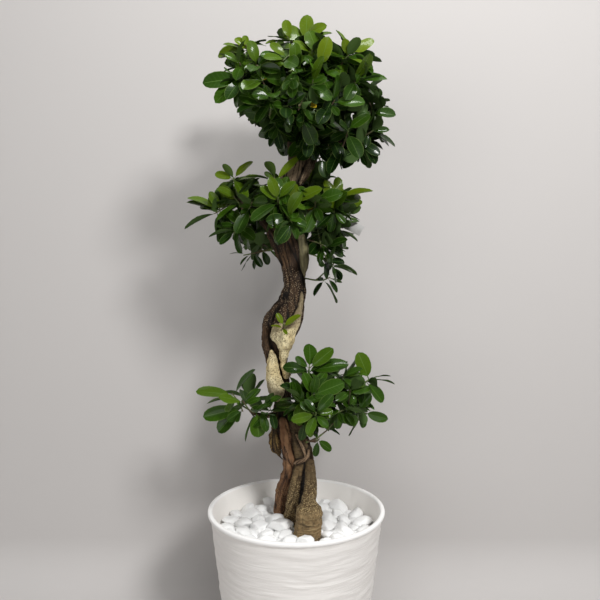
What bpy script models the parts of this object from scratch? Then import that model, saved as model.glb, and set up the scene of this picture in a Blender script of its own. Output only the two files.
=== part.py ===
"""Potted chinese banyan: twisted stems with three tiers of leafy branches, in a round white planter.

Metres, +Z up. The origin is the centre of the planter's underside, and the front faces -Y.
"""

import math
import random
from collections import namedtuple

import bmesh
import bpy
from mathutils import Matrix, Quaternion, Vector
from mathutils.bvhtree import BVHTree

OBJECT_NAME = "potted_chinese_banyan"
SEED = 11
GAP = 0.0003  # between pieces that touch
UP = Vector((0.0, 0.0, 1.0))
FRONT = Vector((0.0, -1.0, 0.0))

# Planter
RIM_RADIUS = 0.150
POT_HEIGHT = 0.280
LIP_HEIGHT = 0.010
LIP_OVERHANG = 0.004
WALL = 0.010
FOOT_RADIUS = 0.111
FOOT_RING = 0.014
BOSS_RADIUS = 0.032
FOOT_RECESS = 0.003
FLOOR_TOP = 0.014
POT_STEPS = 36
DRAIN_HOLES = 3
DRAIN_RADIUS = 0.008
DRAIN_CIRCLE = 0.062

# Filling
SOIL_TOP = 0.226
PEBBLE_BED = 0.017
PEBBLE_SIZE = 0.030
PEBBLE_BULGE = 0.006

# Leaves
PETIOLE_SHARE = 0.16
COLLAR_SHARE = 0.06
LEAF_TRIES = 26
LEAF_WIDTH = 0.43  # of a leaf's whole length
LEAF_KEEL = 0.0011
LEAF_FOOT = 0.0028  # half width where it leaves its twig
LEAF_CLEARANCE = 0.0006
BUD_LENGTH = 0.007
TWIG_RADIUS = 0.0017
TWIG_TIP_RADIUS = 0.0011
TWIG_TRIES = 24
TWIG_COLLAR = 0.0035  # straight length where a twig leaves its carrier
STALK_PITCH = 0.022
NODE_PITCH = 0.0055  # twig length between two whorls of leaves
GOLDEN_ANGLE = math.radians(137.5)

Stem = namedtuple("Stem", "name material route against")
Shoot = namedtuple("Shoot", "tip fan fill")
Branch = namedtuple("Branch", "name carrier seat shoots")
Leaf = namedtuple("Leaf", "direction up length")

MATERIALS = {
    "white_planter": ((0.80, 0.79, 0.77), 0.55),
    "potting_soil": ((0.035, 0.024, 0.017), 0.95),
    "white_pebbles": ((0.82, 0.82, 0.81), 0.5),
    "reddish_bark": ((0.20, 0.11, 0.065), 0.8),
    "golden_bark": ((0.27, 0.18, 0.09), 0.8),
    "dark_bark": ((0.10, 0.065, 0.045), 0.85),
    "cream_bark": ((0.62, 0.52, 0.33), 0.65),
    "olive_bark": ((0.22, 0.20, 0.12), 0.7),
    "leaf_green": ((0.06, 0.17, 0.02), 0.35),
    "young_leaf": ((0.22, 0.42, 0.05), 0.4),
    "blank_label": ((0.45, 0.45, 0.43), 0.5),
}

# Stems, each a smooth tube through its points (x, y, z, radius), cut back by the stems it grew against.
STEMS = (
    Stem("main_trunk", "dark_bark", (
        (0.004, 0.018, 0.345, 0.008), (-0.003, 0.014, 0.365, 0.012), (-0.017, 0.010, 0.400, 0.0145),
        (-0.023, 0.008, 0.440, 0.0140), (-0.024, 0.007, 0.475, 0.0130), (-0.029, 0.007, 0.505, 0.0125),
        (-0.032, 0.007, 0.535, 0.0150), (-0.028, 0.007, 0.565, 0.0215), (-0.018, 0.007, 0.595, 0.0260),
        (-0.010, 0.006, 0.623, 0.0235), (-0.004, 0.005, 0.655, 0.0185), (-0.006, 0.003, 0.690, 0.0205),
        (-0.012, 0.000, 0.725, 0.0230), (-0.018, 0.000, 0.760, 0.0210), (-0.018, 0.000, 0.800, 0.0175),
        (-0.008, 0.000, 0.838, 0.0165), (0.003, 0.000, 0.865, 0.0150), (0.000, 0.000, 0.895, 0.0130),
        (0.004, 0.000, 0.930, 0.0100), (0.008, 0.000, 0.965, 0.0075), (0.010, 0.000, 1.000, 0.0050),
    ), ()),
    Stem("stem_left", "reddish_bark", (
        (-0.036, 0.056, 0.110, 0.007), (-0.033, 0.050, 0.180, 0.0105), (-0.030, 0.045, 0.243, 0.0095),
        (-0.026, 0.040, 0.290, 0.0105), (-0.015, 0.028, 0.322, 0.0115), (-0.011, 0.012, 0.348, 0.0115),
        (-0.013, -0.002, 0.374, 0.0095), (-0.019, -0.006, 0.402, 0.0105), (-0.023, -0.004, 0.430, 0.0080),
    ), ("main_trunk",)),
    Stem("stem_centre", "golden_bark", (
        (-0.018, 0.032, 0.120, 0.006), (-0.014, 0.028, 0.190, 0.0105), (-0.011, 0.025, 0.242, 0.0115),
        (-0.002, 0.018, 0.283, 0.0140), (0.002, 0.010, 0.313, 0.0125), (0.006, 0.003, 0.340, 0.0110),
        (0.009, -0.004, 0.365, 0.0105), (0.006, -0.006, 0.388, 0.0135), (-0.002, -0.004, 0.415, 0.0105),
        (-0.010, -0.002, 0.438, 0.0070),
    ), ("main_trunk", "stem_left")),
    Stem("stem_right", "golden_bark", (
        (0.014, -0.030, 0.110, 0.010), (0.015, -0.036, 0.180, 0.0190), (0.017, -0.040, 0.238, 0.0235),
        (0.0215, -0.036, 0.268, 0.0220), (0.0212, -0.031, 0.288, 0.0180), (0.0215, -0.027, 0.300, 0.0125),
        (0.0244, -0.020, 0.324, 0.0098), (0.0235, -0.011, 0.352, 0.0072), (0.021, -0.004, 0.376, 0.0055),
        (0.015, 0.001, 0.398, 0.0045),
    ), ("main_trunk", "stem_centre")),
    Stem("burl_root", "golden_bark", (
        (-0.030, 0.002, 0.462, 0.0030), (-0.033, -0.004, 0.440, 0.0055), (-0.036, -0.008, 0.415, 0.0075),
        (-0.037, -0.009, 0.392, 0.0092), (-0.033, -0.007, 0.376, 0.0085), (-0.026, -0.006, 0.366, 0.0050),
        (-0.020, -0.006, 0.361, 0.0025),
    ), ("main_trunk", "stem_left")),
    Stem("wrapping_stem", "dark_bark", (
        (-0.022, -0.012, 0.632, 0.0055), (-0.041, -0.006, 0.611, 0.0075), (-0.049, -0.004, 0.585, 0.0080),
        (-0.0495, -0.004, 0.560, 0.0080), (-0.045, -0.003, 0.538, 0.0075), (-0.041, 0.001, 0.515, 0.0065),
        (-0.038, 0.005, 0.490, 0.0050),
    ), ("main_trunk",)),
    Stem("pale_stem_lower", "cream_bark", (
        (-0.0426, -0.017, 0.549, 0.0035), (-0.0405, -0.018, 0.538, 0.0075), (-0.0395, -0.018, 0.528, 0.0097),
        (-0.0378, -0.018, 0.506, 0.0124), (-0.0340, -0.017, 0.486, 0.0148), (-0.0310, -0.013, 0.471, 0.0122),
        (-0.0300, -0.010, 0.462, 0.0080),
    ), ("main_trunk", "wrapping_stem")),
    Stem("pale_stem_upper", "cream_bark", (
        (-0.0240, -0.014, 0.592, 0.0110), (-0.0220, -0.016, 0.577, 0.0215), (-0.0186, -0.018, 0.561, 0.0160),
        (-0.0200, -0.019, 0.549, 0.0088), (-0.0215, -0.018, 0.538, 0.0056), (-0.0225, -0.016, 0.524, 0.0046),
        (-0.0170, -0.014, 0.514, 0.0068), (-0.0150, -0.010, 0.502, 0.0050),
    ), ("main_trunk", "wrapping_stem", "pale_stem_lower")),
    Stem("olive_stem", "olive_bark", (
        (0.0150, -0.006, 0.655, 0.0050), (0.0125, -0.012, 0.677, 0.0072), (0.0130, -0.013, 0.705, 0.0078),
        (0.0090, -0.014, 0.732, 0.0075), (0.0010, -0.015, 0.765, 0.0060), (-0.0040, -0.012, 0.795, 0.0045),
    ), ("main_trunk",)),
    Stem("neck_stem", "dark_bark", (
        (0.002, -0.006, 0.826, 0.0060), (0.016, -0.007, 0.846, 0.0070), (0.0265, -0.005, 0.864, 0.0070),
        (0.0320, -0.002, 0.888, 0.0062), (0.0330, 0.000, 0.912, 0.0055), (0.0300, 0.002, 0.940, 0.0040),
    ), ("main_trunk",)),
    Stem("aerial_root", "cream_bark", (
        (0.000, -0.019, 0.408, 0.0016), (0.008, -0.0215, 0.392, 0.0018), (0.0145, -0.020, 0.376, 0.0018),
        (0.0150, -0.012, 0.360, 0.0016),
    ), ("main_trunk", "stem_centre", "stem_right")),
)

# Limbs carry the leafy branches of one tier.
LIMBS = (
    Stem("limb_lower_right", "dark_bark", (
        (-0.012, -0.002, 0.455, 0.0070), (0.010, -0.014, 0.452, 0.0060), (0.035, -0.020, 0.456, 0.0050),
        (0.062, -0.020, 0.463, 0.0042), (0.086, -0.016, 0.461, 0.0032),
    ), ("main_trunk", "stem_centre")),
    Stem("limb_lower_left", "dark_bark", (
        (-0.030, 0.004, 0.440, 0.0050), (-0.052, -0.008, 0.436, 0.0042), (-0.074, -0.018, 0.444, 0.0032),
    ), ("main_trunk", "stem_left", "burl_root")),
    Stem("limb_middle_left", "reddish_bark", (
        (-0.014, -0.002, 0.684, 0.0080), (-0.0290, -0.006, 0.712, 0.0075), (-0.046, -0.010, 0.748, 0.0060),
        (-0.062, -0.014, 0.772, 0.0050), (-0.088, -0.018, 0.790, 0.0036),
    ), ("main_trunk",)),
    Stem("limb_middle_front", "dark_bark", (
        (-0.014, -0.012, 0.742, 0.0070), (-0.018, -0.045, 0.762, 0.0052), (-0.028, -0.072, 0.776, 0.0038),
    ), ("main_trunk", "olive_stem")),
    Stem("limb_middle_right", "dark_bark", (
        (-0.006, 0.002, 0.748, 0.0072), (0.026, -0.004, 0.766, 0.0058), (0.052, -0.010, 0.780, 0.0040),
    ), ("main_trunk", "olive_stem")),
    Stem("limb_middle_back", "dark_bark", (
        (-0.016, 0.010, 0.752, 0.0070), (-0.014, 0.046, 0.776, 0.0055), (-0.004, 0.078, 0.796, 0.0038),
    ), ("main_trunk",)),
    Stem("limb_top_left", "dark_bark", (
        (0.002, -0.002, 0.896, 0.0070), (-0.025, -0.008, 0.925, 0.0060), (-0.050, -0.014, 0.955, 0.0050),
        (-0.070, -0.020, 0.980, 0.0038),
    ), ("main_trunk",)),
    Stem("limb_top_front", "dark_bark", (
        (0.004, -0.002, 0.905, 0.0065), (0.009, -0.040, 0.925, 0.0052), (0.014, -0.074, 0.938, 0.0038),
    ), ("main_trunk",)),
    Stem("limb_top_right", "dark_bark", (
        (0.008, -0.001, 0.955, 0.0060), (0.040, -0.008, 0.972, 0.0052), (0.068, -0.006, 0.988, 0.0036),
    ), ("main_trunk",)),
    Stem("limb_top_low_right", "dark_bark", (
        (0.032, 0.000, 0.882, 0.0050), (0.058, -0.006, 0.892, 0.0045), (0.086, -0.006, 0.902, 0.0033),
    ), ("main_trunk", "neck_stem")),
    Stem("limb_top_back", "dark_bark", (
        (0.004, 0.004, 0.918, 0.0065), (0.010, 0.042, 0.944, 0.0052), (0.018, 0.074, 0.966, 0.0038),
    ), ("main_trunk",)),
)

# A leafy branch: the stem that carries it, the place on that stem it springs from, and its shoots.
# A fan lists leaves by the place of their tips from the shoot's own tip: bearing (degrees anticlockwise
# from +X, seen from the front), lean towards the front (degrees) and distance (mm), and then by roll,
# the degrees that the blade turns away from the front. Fill is the number of further leaves, set in a spiral.
BRANCHES = (
    Branch("top_branch_left", "limb_top_left", (-0.068, -0.022, 0.984), (
        Shoot((-0.084, -0.090, 0.991), (
            (180, 0, 49, 55), (144, 15, 29, 0),
            (193, 0, 27, 40), (17, 30, 24, 0)), 2),
        Shoot((-0.080, -0.098, 0.969), (
            (185, 5, 61, 0), (218, 10, 56, 0),
            (243, 0, 44, 45), (272, 10, 39, 0)), 2),
        Shoot((-0.080, 0.060, 1.030), (), 8),
    )),
    Branch("top_branch_low_left", "limb_top_left", (-0.040, -0.016, 0.938), (
        Shoot((-0.037, -0.114, 0.935), (
            (201, 10, 55, 35), (238, 10, 42, 30),
            (284, 20, 19, 0), (174, 25, 29, 0)), 3),
        Shoot((-0.032, -0.050, 0.914), ((222, 0, 28, 40), (253, 10, 22, 0), (204, 0, 16, 0)), 3),
        Shoot((-0.017, -0.116, 0.923), ((246, 10, 37, 0), (223, 0, 28, 40), (287, 20, 32, 0)), 3),
    )),
    Branch("top_branch_upper_left", "limb_top_left", (-0.052, -0.010, 0.962), (
        Shoot((-0.075, -0.083, 1.018), ((163, 5, 37, 35), (149, 0, 32, 0), (98, 0, 23, 0)), 2),
        Shoot((-0.058, -0.103, 0.987), ((104, 10, 37, 0), (194, 20, 20, 30), (47, 20, 24, 0)), 3),
        Shoot((-0.050, -0.110, 0.963), ((222, 20, 28, 0), (112, 20, 17, 0), (310, 25, 25, 0)), 4),
        Shoot((-0.056, 0.070, 0.976), (), 8),
    )),
    Branch("top_branch_crown", "main_trunk", (0.012, -0.003, 0.990), (
        Shoot((0.017, -0.092, 1.033), (
            (85, 0, 36, 0), (168, 10, 38, 0),
            (61, -10, 19, 0), (338, 15, 25, 0)), 2),
        Shoot((-0.007, -0.095, 1.027), (
            (116, 0, 35, 0), (142, 0, 29, 20),
            (163, 0, 36, 65), (185, 10, 38, 40)), 2),
        Shoot((-0.015, -0.109, 0.996), ((171, 10, 37, 30), (139, 15, 30, 20), (161, 0, 50, 25)), 3),
        Shoot((0.040, 0.066, 1.046), (), 8),
    )),
    Branch("top_branch_crown_back", "main_trunk", (0.005, 0.006, 0.972), (
        Shoot((-0.022, 0.060, 1.044), (), 8),
        Shoot((-0.018, 0.094, 0.990), (), 8),
    )),
    Branch("top_branch_front", "limb_top_front", (0.016, -0.074, 0.942), (
        Shoot((0.024, -0.119, 0.952), (
            (322, 20, 38, 0), (260, 20, 27, 20),
            (214, 25, 26, 0), (23, 20, 24, 0)), 3),
        Shoot((0.009, -0.119, 0.928), (
            (306, 20, 34, 0), (334, 20, 47, 20),
            (239, 25, 19, 0), (203, 10, 23, 0)), 3),
        Shoot((0.011, -0.113, 0.906), (
            (247, 10, 23, 0), (302, 10, 23, 0),
            (210, 15, 25, 0), (337, 15, 27, 0)), 3),
    )),
    Branch("top_branch_upper_front", "limb_top_front", (0.010, -0.056, 0.938), (
        Shoot((0.024, -0.107, 1.003), (
            (88, 10, 36, 0), (176, 20, 22, 60),
            (347, 10, 20, 30), (238, 30, 26, 0)), 3),
        Shoot((-0.003, -0.116, 0.976), (
            (85, 20, 37, 0), (159, 15, 34, 40),
            (189, 20, 21, 30), (63, 40, 25, 0)), 3),
        Shoot((-0.004, -0.119, 0.962), ((267, 30, 35, 0), (208, 20, 30, 0), (240, 20, 28, 0)), 3),
    )),
    Branch("top_branch_low_front", "limb_top_front", (0.006, -0.036, 0.919), (
        Shoot((0.020, -0.070, 0.893), ((268, 10, 38, 0), (237, 0, 26, 40), (303, 10, 26, 0)), 3),
        Shoot((0.054, -0.112, 0.927), ((341, 20, 28, 0), (51, 25, 23, 0), (297, 20, 21, 0)), 3),
    )),
    Branch("top_branch_right", "limb_top_right", (0.068, -0.008, 0.992), (
        Shoot((0.084, -0.092, 1.003), (
            (123, 10, 36, 0), (43, 5, 44, 0), (114, 0, 48, 60),
            (135, 0, 41, 80), (358, 0, 47, 75), (303, 15, 37, 0)), 1),
        Shoot((0.089, -0.100, 0.965), (
            (24, 0, 58, 30), (342, 5, 38, 60),
            (300, 10, 28, 45), (189, 20, 31, 40)), 2),
        Shoot((0.112, -0.015, 0.972), ((274, 0, 28, 85), (203, 10, 25, 30), (247, 0, 25, 40)), 3),
    )),
    Branch("top_branch_right_front", "limb_top_right", (0.048, -0.013, 0.974), (
        Shoot((0.035, -0.114, 0.977), ((188, 15, 43, 45), (145, 25, 28, 0), (274, 20, 25, 0)), 3),
        Shoot((0.073, -0.099, 0.996), (
            (139, 10, 37, 30), (163, 10, 32, 0),
            (242, 25, 31, 0), (197, 25, 38, 0)), 3),
        Shoot((0.060, -0.112, 0.957), ((164, 20, 23, 0), (322, 20, 20, 0), (243, 20, 21, 0)), 3),
    )),
    Branch("top_branch_low_right", "limb_top_low_right", (0.087, -0.008, 0.904), (
        Shoot((0.120, -0.030, 0.905), (
            (175, 15, 40, 0), (9, 10, 32, 20),
            (335, 5, 47, 35), (255, 20, 27, 0)), 2),
        Shoot((0.125, -0.020, 0.948), (
            (343, 10, 40, 0), (0, -10, 34, 40),
            (218, 15, 32, 0), (120, 20, 16, 0)), 3),
        Shoot((0.107, -0.030, 0.884), (
            (314, 5, 38, 20), (334, 10, 33, 0), (288, 0, 27, 45),
            (230, 10, 36, 0), (266, 0, 47, 80)), 2),
    )),
    Branch("top_branch_hanging", "limb_top_low_right", (0.066, -0.008, 0.893), (
        Shoot((0.080, -0.085, 0.893), ((157, 20, 41, 20), (208, 15, 30, 0), (86, 20, 24, 30)), 3),
        Shoot((0.067, -0.050, 0.879), (
            (205, 10, 27, 0), (270, 0, 40, 80),
            (306, 10, 22, 0), (156, 20, 17, 0)), 3),
        Shoot((0.039, -0.028, 0.865), ((291, 0, 37, 0),), 1),
    )),
    Branch("top_branch_back", "limb_top_back", (0.020, 0.078, 0.970), (
        Shoot((0.008, 0.120, 1.002), (), 9),
        Shoot((0.056, 0.104, 0.956), (), 9),
    )),
    Branch("top_branch_back_right", "limb_top_right", (0.060, 0.000, 0.988), (
        Shoot((0.094, 0.072, 1.022), (), 9),
        Shoot((0.106, 0.066, 0.966), (), 9),
        Shoot((0.096, 0.050, 0.910), (), 8),
    )),
    Branch("top_branch_back_low", "limb_top_back", (0.008, 0.048, 0.942), (
        Shoot((-0.030, 0.076, 0.928), (), 8),
        Shoot((-0.028, 0.030, 0.909), ((209, 0, 32, 80), (232, 0, 31, 0), (345, 0, 20, 0)), 2),
    )),
    Branch("middle_branch_left", "limb_middle_left", (-0.090, -0.019, 0.793), (
        Shoot((-0.102, -0.022, 0.828), (
            (132, 0, 44, 25), (157, 0, 34, 0), (51, 0, 44, 10),
            (11, 15, 36, 40), (319, 20, 16, 0)), 1),
        Shoot((-0.128, -0.020, 0.779), (
            (114, 15, 33, 0), (164, 0, 65, 25), (151, -15, 63, 45),
            (203, 0, 66, 85), (208, 10, 28, 60)), 1),
    )),
    Branch("middle_branch_low_left", "limb_middle_left", (-0.064, -0.017, 0.770), (
        Shoot((-0.096, -0.032, 0.794), (
            (140, 10, 43, 0), (51, 0, 52, 70),
            (187, 15, 27, 50), (28, 10, 28, 60)), 3),
        Shoot((-0.098, -0.034, 0.748), (
            (221, 10, 40, 0), (285, 10, 31, 0), (168, 5, 32, 35),
            (332, 10, 35, 20), (178, -5, 54, 86)), 2),
        Shoot((-0.073, -0.055, 0.783), ((21, 10, 31, 50), (218, 20, 19, 0), (306, 20, 23, 0)), 4),
    )),
    Branch("middle_branch_front", "limb_middle_front", (-0.028, -0.074, 0.780), (
        Shoot((-0.027, -0.095, 0.786), (
            (215, 10, 49, 10), (48, 20, 39, 10),
            (141, 20, 33, 0), (69, 10, 39, 20)), 2),
        Shoot((-0.010, -0.108, 0.757), (
            (338, 15, 28, 10), (244, 15, 43, 10),
            (306, 20, 37, 0), (188, 20, 34, 0)), 3),
    )),
    Branch("middle_branch_upper_front", "limb_middle_front", (-0.020, -0.048, 0.767), (
        Shoot((-0.034, -0.048, 0.825), (
            (46, 0, 55, 10), (138, 20, 23, 20),
            (168, 0, 44, 55), (133, 0, 31, 70)), 2),
        Shoot((-0.006, -0.085, 0.781), ((81, 25, 32, 0), (30, 15, 53, 15), (7, 20, 26, 40)), 3),
    )),
    Branch("middle_branch_right", "limb_middle_right", (0.053, -0.012, 0.783), (
        Shoot((0.068, -0.030, 0.796), (
            (124, 10, 36, 0), (95, 0, 39, 10), (63, 0, 22, 0),
            (19, 0, 60, 40), (351, 10, 20, 50)), 1),
        Shoot((0.062, -0.035, 0.779), (
            (353, 5, 51, 15), (345, -5, 44, 60),
            (223, 25, 41, 0), (308, 15, 27, 0)), 2),
    )),
    Branch("middle_branch_upper_right", "limb_middle_right", (0.030, -0.004, 0.772), (
        Shoot((0.030, -0.070, 0.784), ((216, 25, 23, 30), (141, 20, 32, 20), (287, 25, 29, 0)), 4),
        Shoot((0.022, 0.012, 0.828), (), 5),
        Shoot((0.070, 0.058, 0.794), (), 8),
        Shoot((0.068, -0.010, 0.752), ((308, 0, 30, 0), (332, 0, 40, 60), (298, -10, 33, 75)), 2),
    )),
    Branch("middle_branch_sprig", "main_trunk", (0.018, 0.002, 0.668), (
        Shoot((0.050, 0.000, 0.667), (
            (347, 0, 31, 70), (313, 0, 30, 15),
            (231, 0, 35, 40), (160, 0, 25, 0)), 1),
        Shoot((0.062, 0.006, 0.691), ((301, 0, 30, 10), (342, 0, 45, 85), (144, 0, 23, 20)), 1),
        Shoot((0.052, 0.004, 0.716), (
            (315, 0, 31, 0), (0, 0, 32, 75),
            (341, 0, 36, 60), (309, 10, 16, 30)), 2),
        Shoot((0.037, 0.000, 0.746), ((309, 0, 35, 30), (149, 0, 20, 0), (225, 10, 19, 40)), 4),
    )),
    Branch("middle_branch_back", "limb_middle_back", (-0.002, 0.082, 0.799), (
        Shoot((-0.040, 0.100, 0.822), (), 9),
        Shoot((0.024, 0.104, 0.816), (), 9),
        Shoot((0.030, 0.092, 0.752), (), 8),
    )),
    Branch("middle_branch_back_left", "limb_middle_back", (-0.018, 0.058, 0.783), (
        Shoot((-0.096, 0.056, 0.802), (), 9),
        Shoot((-0.072, 0.074, 0.750), (), 8),
    )),
    Branch("middle_branch_hanging", "main_trunk", (-0.036, 0.004, 0.718), (
        Shoot((-0.078, -0.006, 0.709), (
            (176, 0, 25, 10), (192, 0, 40, 70), (206, -10, 35, 65),
            (225, 0, 24, 75), (313, 10, 30, 0)), 2),
        Shoot((-0.058, 0.004, 0.720), ((294, 0, 33, 0), (138, 10, 25, 30), (241, 0, 42, 60)), 3),
        Shoot((-0.066, 0.034, 0.736), (), 7),
    )),
    Branch("lower_branch_upper_right", "limb_lower_right", (0.012, -0.017, 0.458), (
        Shoot((0.021, -0.025, 0.516), (
            (82, 10, 47, 5), (43, 5, 54, 0), (135, 0, 30, 0),
            (171, 5, 40, 20), (12, 5, 66, 30)), 1),
        Shoot((0.026, -0.055, 0.480), (
            (136, 15, 43, 20), (85, 10, 39, 15), (24, 10, 53, 10),
            (152, 0, 48, 20), (171, 5, 33, 20), (51, 0, 33, 0)), 1),
    )),
    Branch("lower_branch_right", "limb_lower_right", (0.066, -0.022, 0.467), (
        Shoot((0.076, -0.030, 0.502), (
            (148, 0, 31, 40), (75, 0, 31, 0),
            (32, 5, 37, 55), (20, 15, 25, 30)), 2),
        Shoot((0.118, -0.018, 0.497), (
            (106, 5, 50, 0), (25, 0, 44, 60), (358, 0, 47, 60),
            (309, 5, 43, 15), (166, 10, 28, 35)), 1),
    )),
    Branch("lower_branch_far_right", "limb_lower_right", (0.086, -0.018, 0.458), (
        Shoot((0.108, -0.022, 0.447), (
            (345, 5, 52, 5), (310, 10, 29, 20), (130, 15, 45, 10),
            (64, 10, 34, 5), (280, 0, 29, 15), (315, 0, 33, 80)), 1),
        Shoot((0.078, 0.016, 0.440), (), 4),
        Shoot((0.087, -0.050, 0.483), ((124, 10, 18, 0), (304, 10, 18, 20), (222, 10, 22, 0)), 3),
    )),
    Branch("lower_branch_front", "limb_lower_right", (0.032, -0.024, 0.453), (
        Shoot((0.031, -0.088, 0.457), (
            (192, 10, 37, 5), (124, 10, 28, 25), (142, 5, 28, 35), (49, 5, 38, 20),
            (351, 10, 30, 15), (315, 20, 26, 0), (246, 15, 32, 0)), 0),
        Shoot((0.073, -0.040, 0.451), (
            (219, 0, 23, 10), (257, 0, 29, 30),
            (317, 0, 31, 15), (277, -10, 27, 30)), 2),
        Shoot((0.009, -0.060, 0.470), ((213, 5, 33, 30), (180, 5, 19, 10)), 3),
    )),
    Branch("lower_branch_back_right", "limb_lower_right", (0.046, -0.012, 0.462), (
        Shoot((0.056, 0.052, 0.478), (), 9),
        Shoot((0.096, 0.056, 0.452), (), 8),
        Shoot((0.020, 0.058, 0.424), (), 8),
    )),
    Branch("lower_branch_left", "limb_lower_left", (-0.075, -0.019, 0.447), (
        Shoot((-0.102, -0.022, 0.471), (
            (170, 0, 66, 10), (58, 0, 57, 45),
            (305, 20, 22, 20), (190, -10, 50, 60)), 1),
        Shoot((-0.089, -0.036, 0.454), ((191, 0, 66, 10), (223, 0, 56, 15), (216, 25, 31, 0)), 2),
    )),
    Branch("lower_branch_low_left", "limb_lower_left", (-0.054, -0.011, 0.433), (
        Shoot((-0.083, -0.050, 0.465), ((36, 0, 50, 45), (25, 15, 28, 15), (55, 0, 26, 60)), 2),
        Shoot((-0.062, -0.040, 0.451), (
            (41, 10, 31, 15), (44, 0, 50, 20), (295, 20, 36, 0),
            (235, 0, 58, 55), (272, 0, 51, 10)), 1),
        Shoot((-0.084, 0.038, 0.456), (), 8),
    )),
    Branch("lower_branch_red_twig", "stem_centre", (0.015, -0.012, 0.392), (
        Shoot((0.057, -0.014, 0.419), ((325, 0, 21, 30), (209, 5, 17, 0), (32, 0, 16, 0)), 1),
        Shoot((0.036, -0.026, 0.400), ((260, 0, 29, 0), (317, 0, 30, 20)), 1),
    )),
    Branch("knot_sprig", "pale_stem_upper", (-0.022, -0.034, 0.586), (
        Shoot((-0.021, -0.042, 0.589), (
            (113, 5, 25, 10), (39, 5, 34, 30),
            (171, 0, 20, 30), (301, 40, 16, 0)), 0),
    )),
)

# Plant label: a sloping strip with a narrow strap that loops round a limb.
TAG_CARRIER = "limb_middle_right"
TAG_PLANE = -0.002  # its place along Y, just behind the limb
TAG_START = (0.066, 0.7708)  # X and Z of the middle of the strip's upper end
TAG_SLOPE = math.radians(-28)
TAG_LENGTH = 0.050
TAG_WIDTH = 0.018
TAG_THICKNESS = 0.0008
STRAP_WIDTH = 0.006
STRAP_THICKNESS = 0.0006
STRAP_LAP = 0.003  # how far the strap runs into the strip
LOOP_WALL = 0.0015
LOOP_LENGTH = 0.006
LOOP_SIDES = 12
YOUNG_BRANCH = "knot_sprig"


def remove_all_objects():
    for item in list(bpy.data.objects):
        bpy.data.objects.remove(item, do_unlink=True)


def new_collection(name):
    collection = bpy.data.collections.new(name)
    bpy.context.scene.collection.children.link(collection)
    return collection


def new_material(name):
    colour, roughness = MATERIALS[name]
    material = bpy.data.materials.new(name)
    material.use_nodes = True
    shader = material.node_tree.nodes["Principled BSDF"]
    shader.inputs["Base Color"].default_value = (*colour, 1.0)
    shader.inputs["Roughness"].default_value = roughness
    shader.inputs["Metallic"].default_value = 0.0
    return material


def add_object(name, data, material, collection):
    item = bpy.data.objects.new(name, data)
    collection.objects.link(item)
    if data.materials:
        data.materials[0] = material
    else:
        data.materials.append(material)
    return item


def evaluated_mesh(item):
    bpy.context.view_layer.update()
    graph = bpy.context.evaluated_depsgraph_get()
    return bpy.data.meshes.new_from_object(item.evaluated_get(graph), depsgraph=graph)


# ---- Planter, soil and pebbles ----

def outer_radius(z):
    """Radius of the planter's outer wall, which opens upwards and is a little convex."""
    share = max(z, 0.0) / (POT_HEIGHT - LIP_HEIGHT)
    return FOOT_RADIUS + (RIM_RADIUS - LIP_OVERHANG - FOOT_RADIUS) * share ** 0.95


def inner_radius(z):
    return outer_radius(z) - WALL


def arc(centre, radius, start, end, steps):
    """Points of an arc in the profile's plane, angles in degrees."""
    angles = [math.radians(start + (end - start) * i / steps) for i in range(steps + 1)]
    return [(centre[0] + radius * math.cos(a), centre[1] + radius * math.sin(a)) for a in angles]


def planter_profile():
    """From the middle of the floor, up the inner wall, over the lip and down the outer wall."""
    lip_radius = LIP_HEIGHT / 2
    lip_centre = (RIM_RADIUS - lip_radius, POT_HEIGHT - lip_radius)
    inner_lip = (RIM_RADIUS - LIP_OVERHANG - WALL + 0.003, POT_HEIGHT - 0.0025)
    inner_heights = [FLOOR_TOP + (POT_HEIGHT - 0.012 - FLOOR_TOP) * i / 4 for i in range(5)]
    outer_heights = [POT_HEIGHT - LIP_HEIGHT - (POT_HEIGHT - LIP_HEIGHT - 0.003) * i / 5 for i in range(6)]
    recess = FOOT_RADIUS - FOOT_RING
    return (
        [(0.0, FLOOR_TOP)]
        + [(inner_radius(z), z) for z in inner_heights]
        + [inner_lip]
        + arc(lip_centre, lip_radius, 90, -90, 5)
        + [(outer_radius(z), z) for z in outer_heights]
        + [(FOOT_RADIUS - 0.0025, 0.0), (recess, 0.0), (recess - 0.001, FOOT_RECESS)]
        + [(BOSS_RADIUS + 0.001, FOOT_RECESS), (BOSS_RADIUS, 0.0), (0.0, 0.0)]
    )


def turned(name, profile, material, collection):
    """A profile turned about Z."""
    mesh = bpy.data.meshes.new(name)
    points = [(x, 0.0, z) for x, z in profile]
    mesh.from_pydata(points, [(i, i + 1) for i in range(len(points) - 1)], [])
    item = add_object(name, mesh, material, collection)
    screw = item.modifiers.new("turn", "SCREW")
    screw.steps = screw.render_steps = POT_STEPS
    screw.use_merge_vertices = True
    screw.merge_threshold = 0.00005
    screw.use_smooth_shade = True
    return item


def cut(item, cutter, operation="DIFFERENCE"):
    boolean = item.modifiers.new("cut by " + cutter.name, "BOOLEAN")
    boolean.operation = operation
    boolean.solver = "EXACT"
    boolean.object = cutter


def as_cutter(name, mesh, cutters):
    item = bpy.data.objects.new(name, mesh)
    item.hide_render = True
    item.display_type = "WIRE"
    cutters.objects.link(item)
    return item


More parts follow.
